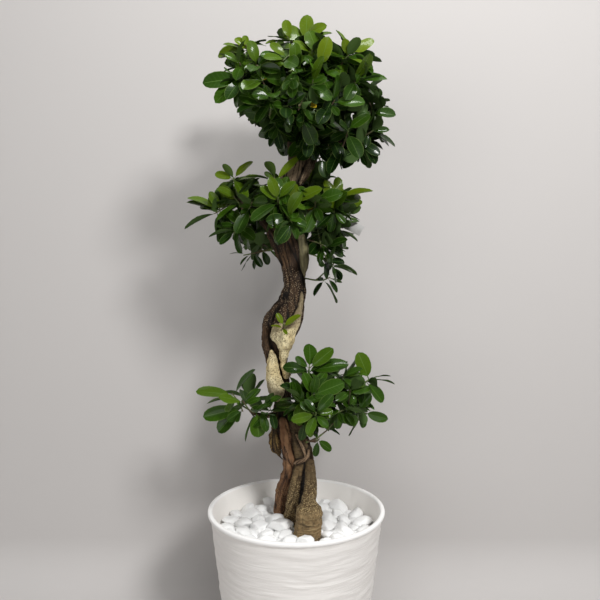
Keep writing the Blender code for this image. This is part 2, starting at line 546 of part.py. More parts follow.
def make_planter(materials, collection, cutters):
    planter = turned("planter", planter_profile(), materials["white_planter"], collection)
    for i in range(DRAIN_HOLES):
        angle = math.radians(90 + 360 * i / DRAIN_HOLES)
        bm = bmesh.new()
        place = Matrix.Translation((DRAIN_CIRCLE * math.cos(angle), DRAIN_CIRCLE * math.sin(angle), FLOOR_TOP / 2))
        bmesh.ops.create_cone(bm, cap_ends=True, segments=16, radius1=DRAIN_RADIUS, radius2=DRAIN_RADIUS,
                              depth=FLOOR_TOP * 2, matrix=place)
        mesh = bpy.data.meshes.new(f"drain_hole_{i + 1}")
        bm.to_mesh(mesh)
        bm.free()
        cut(planter, as_cutter(f"drain_hole_{i + 1}", mesh, cutters))
    return planter


def make_soil(materials, collection):
    heights = [FLOOR_TOP + GAP + (SOIL_TOP - FLOOR_TOP - GAP) * i / 3 for i in range(4)]
    wall = [(inner_radius(z) - 2 * GAP, z) for z in reversed(heights)]
    profile = [(0.0, SOIL_TOP)] + wall + [(0.0, FLOOR_TOP + GAP)]
    return turned("potting_soil", profile, materials["potting_soil"], collection)


def make_pebbles(materials, collection, cutters):
    """The top dressing as one layer of domed stones on an uneven honeycomb, cut round by the wall."""
    dice = random.Random(SEED)
    base = SOIL_TOP + GAP
    waist = PEBBLE_BED - PEBBLE_BULGE
    corner = PEBBLE_SIZE / math.sqrt(3)
    reach = math.ceil(RIM_RADIUS / (PEBBLE_SIZE * 0.866))
    bm = bmesh.new()
    for row in range(-reach, reach + 1):
        for column in range(-reach, reach + 1):
            place = ((column + 0.5 * (row % 2)) * PEBBLE_SIZE, row * PEBBLE_SIZE * 0.866, base + waist)
            if math.hypot(place[0], place[1]) < RIM_RADIUS + 0.5 * PEBBLE_SIZE:
                dome = bmesh.ops.create_cone(bm, cap_ends=True, segments=6, radius1=corner, radius2=0.62 * corner,
                                             depth=PEBBLE_BULGE, matrix=Matrix.Translation(place))["verts"]
                bottom = min({f for v in dome for f in v.link_faces}, key=lambda f: f.normal.z)
                bmesh.ops.delete(bm, geom=[bottom], context="FACES_ONLY")
    bmesh.ops.remove_doubles(bm, verts=bm.verts, dist=PEBBLE_SIZE / 20)
    for vert in bm.verts:
        slack = 0.16 * PEBBLE_SIZE if vert.co.z < base + waist else 0.08 * PEBBLE_SIZE
        vert.co += Vector([dice.uniform(-slack, slack) for _ in range(2)] + [dice.uniform(-0.2, 0.2) * PEBBLE_BULGE])
    tops = [f for f in bm.faces if len(f.verts) == 6]
    for middle in bmesh.ops.poke(bm, faces=tops)["verts"]:
        middle.co.z += 0.3 * PEBBLE_BULGE
    rim = bmesh.ops.extrude_edge_only(bm, edges=[e for e in bm.edges if e.is_boundary])["geom"]
    for vert in rim:
        if isinstance(vert, bmesh.types.BMVert):
            vert.co.z = base
    bmesh.ops.holes_fill(bm, edges=[e for e in bm.edges if e.is_boundary], sides=0)
    bmesh.ops.recalc_face_normals(bm, faces=bm.faces)
    mesh = bpy.data.meshes.new("pebble_bed")
    bm.to_mesh(mesh)
    bm.free()
    pebbles = add_object("pebble_bed", mesh, materials["white_pebbles"], collection)
    cut(pebbles, wall_cutter(base, cutters), "INTERSECT")
    return pebbles


def wall_cutter(base, cutters):
    """A disc as wide as the planter's inside at the top of the soil."""
    edge = inner_radius(base) * math.cos(math.pi / POT_STEPS) - 2 * GAP
    bm = bmesh.new()
    bmesh.ops.create_cone(bm, cap_ends=True, segments=POT_STEPS, radius1=edge, radius2=edge,
                          depth=4 * PEBBLE_BED, matrix=Matrix.Translation((0, 0, base)))
    mesh = bpy.data.meshes.new("pebble_outline")
    bm.to_mesh(mesh)
    bm.free()
    return as_cutter("pebble_outline", mesh, cutters)


# ---- Stems and limbs ----

def smooth_route(points, steps):
    """A Catmull-Rom curve through the points (x, y, z, radius), with steps pieces between two of them."""
    rows = [Vector(p) for p in points]
    rows = [2 * rows[0] - rows[1]] + rows + [2 * rows[-1] - rows[-2]]
    route = []
    for a, b, c, d in zip(rows, rows[1:], rows[2:], rows[3:]):
        for i in range(steps):
            t = i / steps
            route.append(0.5 * (2 * b + (c - a) * t + (2 * a - 5 * b + 4 * c - d) * t ** 2
                                + (3 * b - a - 3 * c + d) * t ** 3))
    return route + [rows[-2]]


def tube_mesh(name, route, sides, grow=0.0):
    """A closed tapered tube along the route, its radius grown by grow, with welded caps."""
    curve = bpy.data.curves.new(name, "CURVE")
    curve.dimensions = "3D"
    curve.bevel_depth = 1.0
    curve.bevel_resolution = sides // 2 - 2
    curve.use_fill_caps = True
    spline = curve.splines.new("POLY")
    spline.points.add(len(route) - 1)
    for point, (x, y, z, radius) in zip(spline.points, route):
        point.co = (x, y, z, 1.0)
        point.radius = radius + grow
    item = bpy.data.objects.new(name, curve)
    bpy.context.scene.collection.objects.link(item)
    mesh = evaluated_mesh(item)
    bpy.data.objects.remove(item)
    bpy.data.curves.remove(curve)
    bm = bmesh.new()
    bm.from_mesh(mesh)
    bmesh.ops.remove_doubles(bm, verts=bm.verts, dist=0.00001)
    bmesh.ops.recalc_face_normals(bm, faces=bm.faces)
    bm.to_mesh(mesh)
    bm.free()
    return mesh


def lengthened(route, extra):
    """The route with both ends moved outwards."""
    first = Vector((*(route[0] - route[1]).to_3d().normalized() * extra, 0.0))
    last = Vector((*(route[-1] - route[-2]).to_3d().normalized() * extra, 0.0))
    return [route[0] + first] + route[1:-1] + [route[-1] + last]


def stem_sides(stem):
    thickest = max(point[3] for point in stem.route)
    return 10 if thickest > 0.018 else 8


def make_stems(materials, collection, cutters):
    """All stems and limbs, each cut back by a slightly grown copy of those it grew against."""
    grown, stems = {}, {}
    for stem in STEMS + LIMBS:
        route = smooth_route(stem.route, 2)
        mesh = tube_mesh(stem.name, route, stem_sides(stem))
        item = add_object(stem.name, mesh, materials[stem.material], collection)
        for name in stem.against:
            cut(item, grown[name])
        copy = tube_mesh(stem.name + "_grown", lengthened(route, GAP), stem_sides(stem), 1.5 * GAP)
        grown[stem.name] = as_cutter(stem.name + "_grown", copy, cutters)
        stems[stem.name] = item
    return stems, grown


# ---- Leafy branches ----

class Room:
    """The room that woody pieces, twigs and leaves already take up.

    Each piece is a body, as points and faces, and a core, which leaves out the stretch by its root.
    Pieces meet their kin, those they grow from or beside, at their roots, so against those only the
    cores are tested.
    """

    def __init__(self):
        self.taken = []

    def add(self, owner, body, core):
        points = body[0]
        low = Vector([min(p[k] for p in points) for k in range(3)])
        high = Vector([max(p[k] for p in points) for k in range(3)])
        self.taken.append((owner, low, high, BVHTree.FromPolygons(*body), BVHTree.FromPolygons(*core)))

    def is_free(self, kin, body, core):
        points = body[0]
        low = [min(p[k] for p in points) for k in range(3)]
        high = [max(p[k] for p in points) for k in range(3)]
        trees = None
        for other, a, b, other_body, other_core in self.taken:
            if all(low[k] <= b[k] and high[k] >= a[k] for k in range(3)):
                trees = trees or (BVHTree.FromPolygons(*body), BVHTree.FromPolygons(*core))
                crossed = trees[1].overlap(other_core) if other in kin else trees[0].overlap(other_body)
                if crossed:
                    return False
        return True


def ring(centre, side, up, radius):
    """Corners of a triangular cross-section."""
    angles = [math.tau * k / 3 for k in range(3)]
    return [centre + radius * (math.cos(a) * side + math.sin(a) * up) for a in angles]


def bridge_faces(count, sides):
    """Faces of a tube of rings with count rings of the given number of sides, and both end caps."""
    faces = [[i * sides + k, i * sides + (k + 1) % sides, (i + 1) * sides + (k + 1) % sides, (i + 1) * sides + k]
             for i in range(count - 1) for k in range(sides)]
    return faces + [list(range(sides)), list(range((count - 1) * sides, count * sides))]


def extrude_to(bm, face, points):
    """Extrude a face and move its corners to the points, turned so that the walls twist least."""
    grown = bmesh.ops.extrude_discrete_faces(bm, faces=[face])["faces"][0]
    verts = list(grown.verts)
    middle = grown.calc_center_median()
    centre = sum(points, Vector()) / len(points)
    turns = range(len(points))

    def twist(turn):
        return sum(((v.co - middle).normalized() - (points[(i + turn) % len(points)] - centre).normalized()).length
                   for i, v in enumerate(verts))

    turn = min(turns, key=twist)
    for i, vert in enumerate(verts):
        vert.co = points[(i + turn) % len(points)]
    return grown


def wall_faces(face):
    """The faces round an extruded face."""
    return [next(f for f in edge.link_faces if f is not face) for edge in face.edges]


def bezier(p0, p1, p2, p3, steps):
    points = []
    for i in range(steps + 1):
        t = i / steps
        s = 1 - t
        points.append(s ** 3 * p0 + 3 * s * s * t * p1 + 3 * s * t * t * p2 + t ** 3 * p3)
    return points


def bearing_vector(bearing, lean):
    """Direction from a bearing seen from the front and a lean towards the front, in degrees."""
    b, k = math.radians(bearing), math.radians(lean)
    return Vector((math.cos(b) * math.cos(k), -math.sin(k), math.sin(b) * math.cos(k)))


def any_side(axis):
    side = axis.cross(UP)
    if side.length < 0.1:
        side = axis.cross(Vector((1.0, 0.0, 0.0)))
    return side.normalized()


class Twig:
    """One twig from its root to the shoot at its tip, as rings of three points along a bent line."""

    def __init__(self, root, normal, shoot, radius, wander):
        tip = Vector(shoot.tip)
        reach = (tip - root).length
        away = (tip - root).normalized()
        lift = 0.45 if away.z > -0.2 else 0.0
        self.axis = (away + lift * UP + 0.25 * wander).normalized()
        self.whorls = math.ceil((len(shoot.fan) + shoot.fill) / 3)
        foot = tip - self.axis * (NODE_PITCH * self.whorls / 2)
        first = root + normal * (TWIG_COLLAR + 0.3 * reach) + 0.02 * wander
        last = foot - self.axis * 0.3 * reach - 0.02 * wander
        collar = root + normal * TWIG_COLLAR
        stalk = [root] + bezier(collar, first, last, foot, max(2, round(reach / STALK_PITCH)))
        self.centres = stalk + [foot + self.axis * NODE_PITCH * (i + 1) for i in range(self.whorls)]
        self.radii = [radius + (TWIG_TIP_RADIUS - radius) * i / (len(self.centres) - 1)
                      for i in range(len(self.centres))]
        self.normal = normal
        self.rings = self.place_rings(0.0)

    def place_rings(self, grow):
        rings = []
        side = any_side(self.normal)
        for i, centre in enumerate(self.centres):
            if i == 0:
                along = self.normal
            else:
                along = (self.centres[min(i + 1, len(self.centres) - 1)] - self.centres[i - 1]).normalized()
            side = (side - along * side.dot(along)).normalized()
            rings.append(ring(centre, side, along.cross(side), self.radii[i] + grow))
        return rings

    def hull(self, start):
        """Points and faces of the twig from its ring of that number on, grown by the clearance."""
        rings = self.place_rings(LEAF_CLEARANCE)[start:]
        end = self.centres[-1] + self.axis * BUD_LENGTH
        rings.append(ring(end, *self.tip_frame(), 0.0003))
        points = [p for r in rings for p in r]
        return points, bridge_faces(len(rings), 3)

    def tip_frame(self):
        side = (self.rings[-1][0] - self.centres[-1]).normalized()
        return side, self.axis.cross(side)

    def grow(self, bm, face):
        """Extrude the twig from a face and return the wall faces of each of its segments."""
        walls = []
        for points in self.rings[1:]:
            face = extrude_to(bm, face, points)
            walls.append(wall_faces(face))
        bud = bmesh.ops.poke(bm, faces=[face])["verts"][0]
        bud.co = self.centres[-1] + self.axis * BUD_LENGTH
        return walls


def clear_twig(room, kin, root, normal, shoot, radius, dice):
    """The first twig whose way is free, trying ways that wander more and more, and whether it is."""
    for attempt in range(TWIG_TRIES):
        wander = Vector([dice.uniform(-1, 1) for _ in range(3)]) * (2 * attempt / TWIG_TRIES)
        twig = Twig(root, normal, shoot, radius, wander)
        if room.is_free(kin, twig.hull(0), twig.hull(1)):
            return twig, True
    return twig, False


def leaf_section(root, leaf, along, half, sag, grow):
    """Right edge, left edge and keel of the leaf's cross-section at a share of its length."""
    side = leaf.up.cross(leaf.direction)
    centre = root + leaf.direction * along * leaf.length - leaf.up * sag * leaf.length
    lift = leaf.up * (0.12 * half + grow)
    half += grow
    return [centre + side * half + lift, centre - side * half + lift, centre - leaf.up * (LEAF_KEEL + grow)]


def leaf_points(root, leaf, grow=0.0):
    """The leaf's two broad cross-sections and its tip."""
    half = 0.5 * LEAF_WIDTH * leaf.length
    first = leaf_section(root, leaf, 0.40, 0.94 * half, 0.02, grow)
    second = leaf_section(root, leaf, 0.74, half, 0.05, grow)
    tip = root + leaf.direction * (leaf.length + grow) - leaf.up * 0.09 * leaf.length
    return first, second, tip


def leaf_hull(root, leaf, start):
    """Points and faces of the leaf from a share of its length on, grown by the clearance."""
    first, second, tip = leaf_points(root, leaf, LEAF_CLEARANCE)
    foot = leaf_section(root, leaf, start, LEAF_FOOT, 0.0, LEAF_CLEARANCE)
    faces = bridge_faces(3, 3)[:-1]
    return foot + first + second + [tip], faces + [[6, 7, 9], [7, 8, 9], [8, 6, 9]]


def blade_up(direction, facing, roll):
    """The normal of a leaf's upper face, as near to the way it faces as its direction lets it be."""
    up = (facing - direction * facing.dot(direction)).normalized()
    return Quaternion(direction, math.radians(roll)) @ up


def planned_leaves(shoot, axis, dice):
    """The shoot's leaves, those of its fan first and then those of its spiral."""
    fan, fill = [], []
    outward = Vector((shoot.tip[0], shoot.tip[1], 0.0)).normalized()
    for bearing, lean, distance, roll in shoot.fan:
        direction = bearing_vector(bearing, lean)
        roll *= -1 if direction.x > 0 else 1
        up = blade_up(direction, 0.15 * axis + 0.35 * UP + FRONT, roll + dice.uniform(-12, 12))
        fan.append(Leaf(direction, up, distance / 1000))
    side = any_side(axis)
    start = dice.uniform(0, math.tau)
    for i in range(shoot.fill):
        turn = Quaternion(axis, start + i * GOLDEN_ANGLE)
        opening = math.radians(82 - 52 * i / max(shoot.fill - 1, 1) + dice.uniform(-8, 8))
        direction = (math.cos(opening) * axis + math.sin(opening) * (turn @ side) - 0.12 * UP).normalized()
        length = dice.uniform(0.040, 0.056) * (1.0 - 0.18 * i / max(shoot.fill - 1, 1))
        up = blade_up(direction, 0.5 * axis + 0.6 * UP + 0.6 * outward, dice.uniform(-25, 25))
        fill.append(Leaf(direction, up, length))
    return fan, fill


def aimed_leaf(root, tip, up):
    """The leaf from its root to a given tip."""
    direction = (tip - root).normalized()
    return Leaf(direction, blade_up(direction, up, 0.0), (tip - root).length)


def half_towards(bm, wall, direction):
    """Split a wall face along its diagonal and return the half that lies further that way."""
    halves = bmesh.ops.triangulate(bm, faces=[wall])["faces"]
    return max(halves, key=lambda half: half.calc_center_median().dot(direction))


def grow_leaf(bm, wall, leaf, root):
    """Extrude a leaf from one half of a twig's wall face."""
    face = half_towards(bm, wall, leaf.direction)
    first, second, tip = leaf_points(root, leaf)
    face = extrude_to(bm, face, first)
    face = extrude_to(bm, face, second)
    bmesh.ops.poke(bm, faces=[face])["verts"][0].co = tip


def clear_leaf(room, owner, root, leaf, axis, dice):
    """The leaf itself, or one turned or shortened a little so that it crosses nothing, or None."""
    for attempt in range(LEAF_TRIES):
        turn = Quaternion(axis, math.radians(dice.uniform(-3, 3) * attempt))
        nod = Quaternion(leaf.up.cross(leaf.direction), math.radians(dice.uniform(-1.6, 1.6) * attempt))
        roll = Quaternion(leaf.direction, math.radians(dice.uniform(-2.5, 2.5) * attempt))
        swing = turn @ nod @ roll
        trial = Leaf(swing @ leaf.direction, swing @ leaf.up, leaf.length * (1 - 0.3 * attempt / LEAF_TRIES))
        body, core = leaf_hull(root, trial, COLLAR_SHARE), leaf_hull(root, trial, PETIOLE_SHARE)
        if room.is_free((owner,), body, core):
            room.add(owner, body, core)
            return trial
    return None


class LeafyBranch:
    """A branch of twigs with their leaves, grown as one piece."""

    def __init__(self, branch, carrier_tree, room, dice):
        self.branch = branch
        self.bm = bmesh.new()
        self.tips = []
        first = branch.shoots[0]
        root, normal = carrier_tree.find_nearest(Vector(branch.seat))[:2]
        root = root + normal * GAP
        twig, _ = clear_twig(room, (branch.name, branch.carrier), root, normal, first, TWIG_RADIUS, dice)
        room.add(branch.name, twig.hull(0), twig.hull(1))
        walls = twig.grow(self.bm, self.start_block(twig))
        self.tips.append((first, twig, walls[-twig.whorls:]))
        stalk = walls[1:-twig.whorls] or walls[:1]
        for shoot in branch.shoots[1:]:
            self.add_side_twig(shoot, stalk, room, dice)

    def start_block(self, twig):
        """Shape a short three-sided block into the twig's foot and return its upper face."""
        verts = bmesh.ops.create_cone(self.bm, cap_ends=True, segments=3, radius1=1, radius2=1, depth=1)["verts"]
        upper = sorted((v for v in verts if v.co.z > 0), key=lambda v: math.atan2(v.co.y, v.co.x))
        under = [next(e.other_vert(v) for e in v.link_edges if e.other_vert(v).co.z < 0) for v in upper]
        step = (twig.centres[1] - twig.centres[0]) * 0.25
        for vert, low, point in zip(upper, under, twig.rings[0]):
            low.co = point
            vert.co = point + step
        return next(f for f in self.bm.faces if all(v in upper for v in f.verts))

    def add_side_twig(self, shoot, stalk, room, dice):
        """Grow a twig from the wall face that suits it best and leaves its way free."""
        tip = Vector(shoot.tip)
        self.bm.normal_update()

        def fitness(pair):
            away = tip - pair[1].calc_center_median()
            return pair[1].normal.dot(away.normalized()) - 12 * away.length

        pairs = sorted(((wall, face) for wall in stalk for face in wall), key=fitness, reverse=True)
        for wall, face in pairs[:8]:
            twig, clear = clear_twig(room, (self.branch.name,), face.calc_center_median(),
                                     face.normal.copy(), shoot, 0.8 * TWIG_RADIUS, dice)
            if clear:
                break
        room.add(self.branch.name, twig.hull(0), twig.hull(1))
        wall.remove(face)
        walls = twig.grow(self.bm, half_towards(self.bm, face, tip - face.calc_center_median()))
        self.tips.append((shoot, twig, walls[-twig.whorls:]))
        stalk += walls[1:-twig.whorls]

    def plan(self, dice):
        """Give every planned leaf of every shoot a wall face, outer leaves on the lower ones."""
        self.bm.normal_update()
        fans, fills = [], []
        for shoot, twig, walls in self.tips:
            fan, fill = planned_leaves(shoot, twig.axis, dice)
            order = sorted(fan + fill, key=lambda leaf: leaf.direction.dot(twig.axis))
            for i, leaf in enumerate(order):
                wall = walls[min(i // 3, len(walls) - 1)]
                if not wall:
                    wall = next(w for w in walls if w)
                face = max(wall, key=lambda f: f.normal.dot(leaf.direction))
                wall.remove(face)
                root = face.calc_center_median()
                fan_leaf = leaf in fan
                if fan_leaf:
                    leaf = aimed_leaf(root, Vector(shoot.tip) + leaf.direction * leaf.length, leaf.up)
                entry = (self, face, root, leaf, twig.axis)
                (fans if fan_leaf else fills).append(entry)
        return fans, fills

    def finish(self, materials, collection):
        bmesh.ops.triangulate(self.bm, faces=self.bm.faces)
        mesh = bpy.data.meshes.new(self.branch.name)
        self.bm.to_mesh(mesh)
        self.bm.free()
        material = materials["young_leaf" if self.branch.name == YOUNG_BRANCH else "leaf_green"]
        return add_object(self.branch.name, mesh, material, collection)


def make_branches(obstacles, materials, collection):
    """All leafy branches: twigs first, then the leaves of the fans, then the leaves that fill."""
    dice = random.Random(SEED)
    room, trees = Room(), {}
    for name, item in obstacles.items():
        mesh = evaluated_mesh(item)
        points = [v.co.copy() for v in mesh.vertices]
        faces = [list(p.vertices) for p in mesh.polygons]
        room.add(name, (points, faces), (points, faces))
        trees[name] = BVHTree.FromPolygons(points, faces)
        bpy.data.meshes.remove(mesh)
    branches = [LeafyBranch(branch, trees[branch.carrier], room, dice) for branch in BRANCHES]
    plans = [branch.plan(dice) for branch in branches]
    for kind in (0, 1):
        for plan in plans:
            for owner, face, root, leaf, axis in plan[kind]:
                clear = clear_leaf(room, owner.branch.name, root, leaf, axis, dice)
                if clear:
                    grow_leaf(owner.bm, face, clear, root)
    return [branch.finish(materials, collection) for branch in branches]


# ---- Plant label ----

def strip_mesh(name, start, end, width, thickness):
    """A flat strip in the label's plane, between the middles of its ends (X and Z)."""
    along = Vector((end[0] - start[0], 0.0, end[1] - start[1]))
    length = along.length
    along.normalize()
    across = Vector((-along.z, 0.0, along.x))
    place = Matrix((along, along.cross(across), across)).transposed().to_4x4()
    place.translation = Vector((start[0], TAG_PLANE, start[1])) + along * length / 2
    bm = bmesh.new()
    bmesh.ops.create_cube(bm, matrix=place @ Matrix.Diagonal((length, thickness, width, 1.0)))
    bmesh.ops.recalc_face_normals(bm, faces=bm.faces)
    mesh = bpy.data.meshes.new(name)
    bm.to_mesh(mesh)
    bm.free()
    return mesh


def loop_mesh(centre, axis, radius):
    """The strap's loop, before the limb's own room is cut out of it."""
    bm = bmesh.new()
    place = Matrix.Translation(centre) @ axis.to_track_quat("Z", "Y").to_matrix().to_4x4()
    bmesh.ops.create_cone(bm, cap_ends=True, segments=LOOP_SIDES, radius1=radius, radius2=radius,
                          depth=LOOP_LENGTH, matrix=place)
    mesh = bpy.data.meshes.new("strap_loop")
    bm.to_mesh(mesh)
    bm.free()
    return mesh


def make_label(grown, materials, collection, cutters):
    """A blank strip that slopes down to the right, its strap looped round a limb behind the middle tier."""
    carrier = next(limb for limb in LIMBS if limb.name == TAG_CARRIER)
    route = smooth_route(carrier.route, 2)
    centre, radius = route[-2].to_3d(), route[-2].w
    reach = TAG_LENGTH * Vector((math.cos(TAG_SLOPE), math.sin(TAG_SLOPE)))
    strip_end = (TAG_START[0] + reach.x, TAG_START[1] + reach.y)
    lap = STRAP_LAP / TAG_LENGTH * reach
    strap_end = (TAG_START[0] + lap.x, TAG_START[1] + lap.y)
    strip = strip_mesh("plant_label", TAG_START, strip_end, TAG_WIDTH, TAG_THICKNESS)
    strap = strip_mesh("label_strap", (centre.x, centre.z), strap_end, STRAP_WIDTH, STRAP_THICKNESS)
    loop = loop_mesh(centre, (route[-1] - route[-3]).to_3d(), radius + LOOP_WALL)
    label = add_object("plant_label", strip, materials["blank_label"], collection)
    cut(label, as_cutter("label_strap", strap, cutters), "UNION")
    cut(label, as_cutter("strap_loop", loop, cutters), "UNION")
    cut(label, grown[TAG_CARRIER])
    return label


def main():
    remove_all_objects()
    parts = new_collection(OBJECT_NAME)
    cutters = new_collection("cutters")
    materials = {name: new_material(name) for name in MATERIALS}
    make_planter(materials, parts, cutters)
    soil = make_soil(materials, parts)
    pebbles = make_pebbles(materials, parts, cutters)
    stems, grown = make_stems(materials, parts, cutters)
    for name in ("stem_left", "stem_centre", "stem_right"):
        cut(soil, grown[name])
        cut(pebbles, grown[name])
    label = make_label(grown, materials, parts, cutters)
    make_branches({**stems, "plant_label": label}, materials, parts)


main()
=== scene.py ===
"""Looks of a potted chinese banyan: fused, twisting stems with three leafy tiers in a white planter.

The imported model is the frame. Each class below builds one part of the plant or its planter around
that frame, in metres with +Z up, and dresses it in its own finish.
"""
import logging
import math
import random
from collections.abc import Callable, Iterator, Sequence
from contextlib import contextmanager
from dataclasses import dataclass, field
from enum import Enum

import bmesh
import bpy
from mathutils import Euler, Matrix, Quaternion, Vector, noise
from mathutils.bvhtree import BVHTree
from mathutils.kdtree import KDTree


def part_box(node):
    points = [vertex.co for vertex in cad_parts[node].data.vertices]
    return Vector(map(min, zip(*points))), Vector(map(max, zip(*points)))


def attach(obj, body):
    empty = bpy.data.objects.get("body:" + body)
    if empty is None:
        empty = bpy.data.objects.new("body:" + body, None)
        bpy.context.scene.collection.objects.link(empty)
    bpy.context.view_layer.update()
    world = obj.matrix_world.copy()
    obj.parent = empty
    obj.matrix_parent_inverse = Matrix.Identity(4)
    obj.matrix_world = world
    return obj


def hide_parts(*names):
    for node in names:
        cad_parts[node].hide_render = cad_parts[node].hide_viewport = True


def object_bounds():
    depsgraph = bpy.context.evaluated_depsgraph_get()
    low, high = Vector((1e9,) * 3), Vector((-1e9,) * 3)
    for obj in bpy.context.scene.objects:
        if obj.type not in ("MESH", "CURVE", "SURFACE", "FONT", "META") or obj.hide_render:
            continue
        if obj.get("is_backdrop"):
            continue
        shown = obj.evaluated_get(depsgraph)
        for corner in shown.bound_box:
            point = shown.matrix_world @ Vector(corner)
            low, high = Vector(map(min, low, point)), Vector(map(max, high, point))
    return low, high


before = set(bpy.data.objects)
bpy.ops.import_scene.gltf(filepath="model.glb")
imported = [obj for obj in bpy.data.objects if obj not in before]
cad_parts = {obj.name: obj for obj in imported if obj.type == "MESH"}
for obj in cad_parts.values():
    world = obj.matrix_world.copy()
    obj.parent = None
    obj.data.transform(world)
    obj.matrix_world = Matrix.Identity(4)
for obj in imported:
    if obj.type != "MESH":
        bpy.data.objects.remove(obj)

LOG = logging.getLogger("banyan")
UP = Vector((0.0, 0.0, 1.0))
ORIGIN = (0.0, 0.0, 0.0)
EVEN = (1.0, 1.0, 1.0)
Colour = tuple[float, float, float]
Place = tuple[float, float, float]


def clamp(value: float, most: float = 1.0) -> float:
    """A value kept from 0 to a most."""
    return min(max(value, 0.0), most)


def squared(up: Vector, direction: Vector) -> Vector:
    """A way turned until it is square to a direction, at unit length."""
    return (up - direction * up.dot(direction)).normalized()


def box_of(points: Sequence[Vector]) -> tuple[Vector, Vector]:
    """The lowest and the highest corner of the box round some points."""
    return (Vector([min(p[i] for p in points) for i in range(3)]),
            Vector([max(p[i] for p in points) for i in range(3)]))


# ---- Shader maths ----

class Signal:
    """A shader value that takes part in arithmetic, each step of which adds a Math node."""

    def __init__(self, recipe: "Recipe", socket: bpy.types.NodeSocket) -> None:
        """Wrap the output socket of a node of the recipe."""
        self.recipe = recipe
        self.socket = socket

    def __add__(self, other: "Signal | float") -> "Signal":
        """This value plus another."""
        return self.recipe.maths("ADD", self, other)

    def __sub__(self, other: "Signal | float") -> "Signal":
        """This value less another."""
        return self.recipe.maths("SUBTRACT", self, other)

    def __rsub__(self, other: "Signal | float") -> "Signal":
        """Another value less this one."""
        return self.recipe.maths("SUBTRACT", other, self)

    def __mul__(self, other: "Signal | float") -> "Signal":
        """This value times another."""
        return self.recipe.maths("MULTIPLY", self, other)

    def __abs__(self) -> "Signal":
        """This value without its sign."""
        return self.recipe.maths("ABSOLUTE", self)

    __radd__ = __add__
    __rmul__ = __mul__

    def fraction(self) -> "Signal":
        """What is left of this value after its whole part."""
        return self.recipe.maths("FRACT", self)

    def step(self, low: float, high: float) -> "Signal":
        """A smooth rise from 0 at low to 1 at high, or a fall where low is above high.

        Args:
            low: The value where the result is 0.
            high: The value where it is 1.

        Returns:
            The result.
        """
        rising = low < high
        ends = {"From Min": min(low, high), "From Max": max(low, high),
                "To Min": 0.0 if rising else 1.0, "To Max": 1.0 if rising else 0.0}
        return self.recipe.signal(
            "ShaderNodeMapRange", {"interpolation_type": "SMOOTHSTEP"}, {"Value": self, **ends}, "Result")


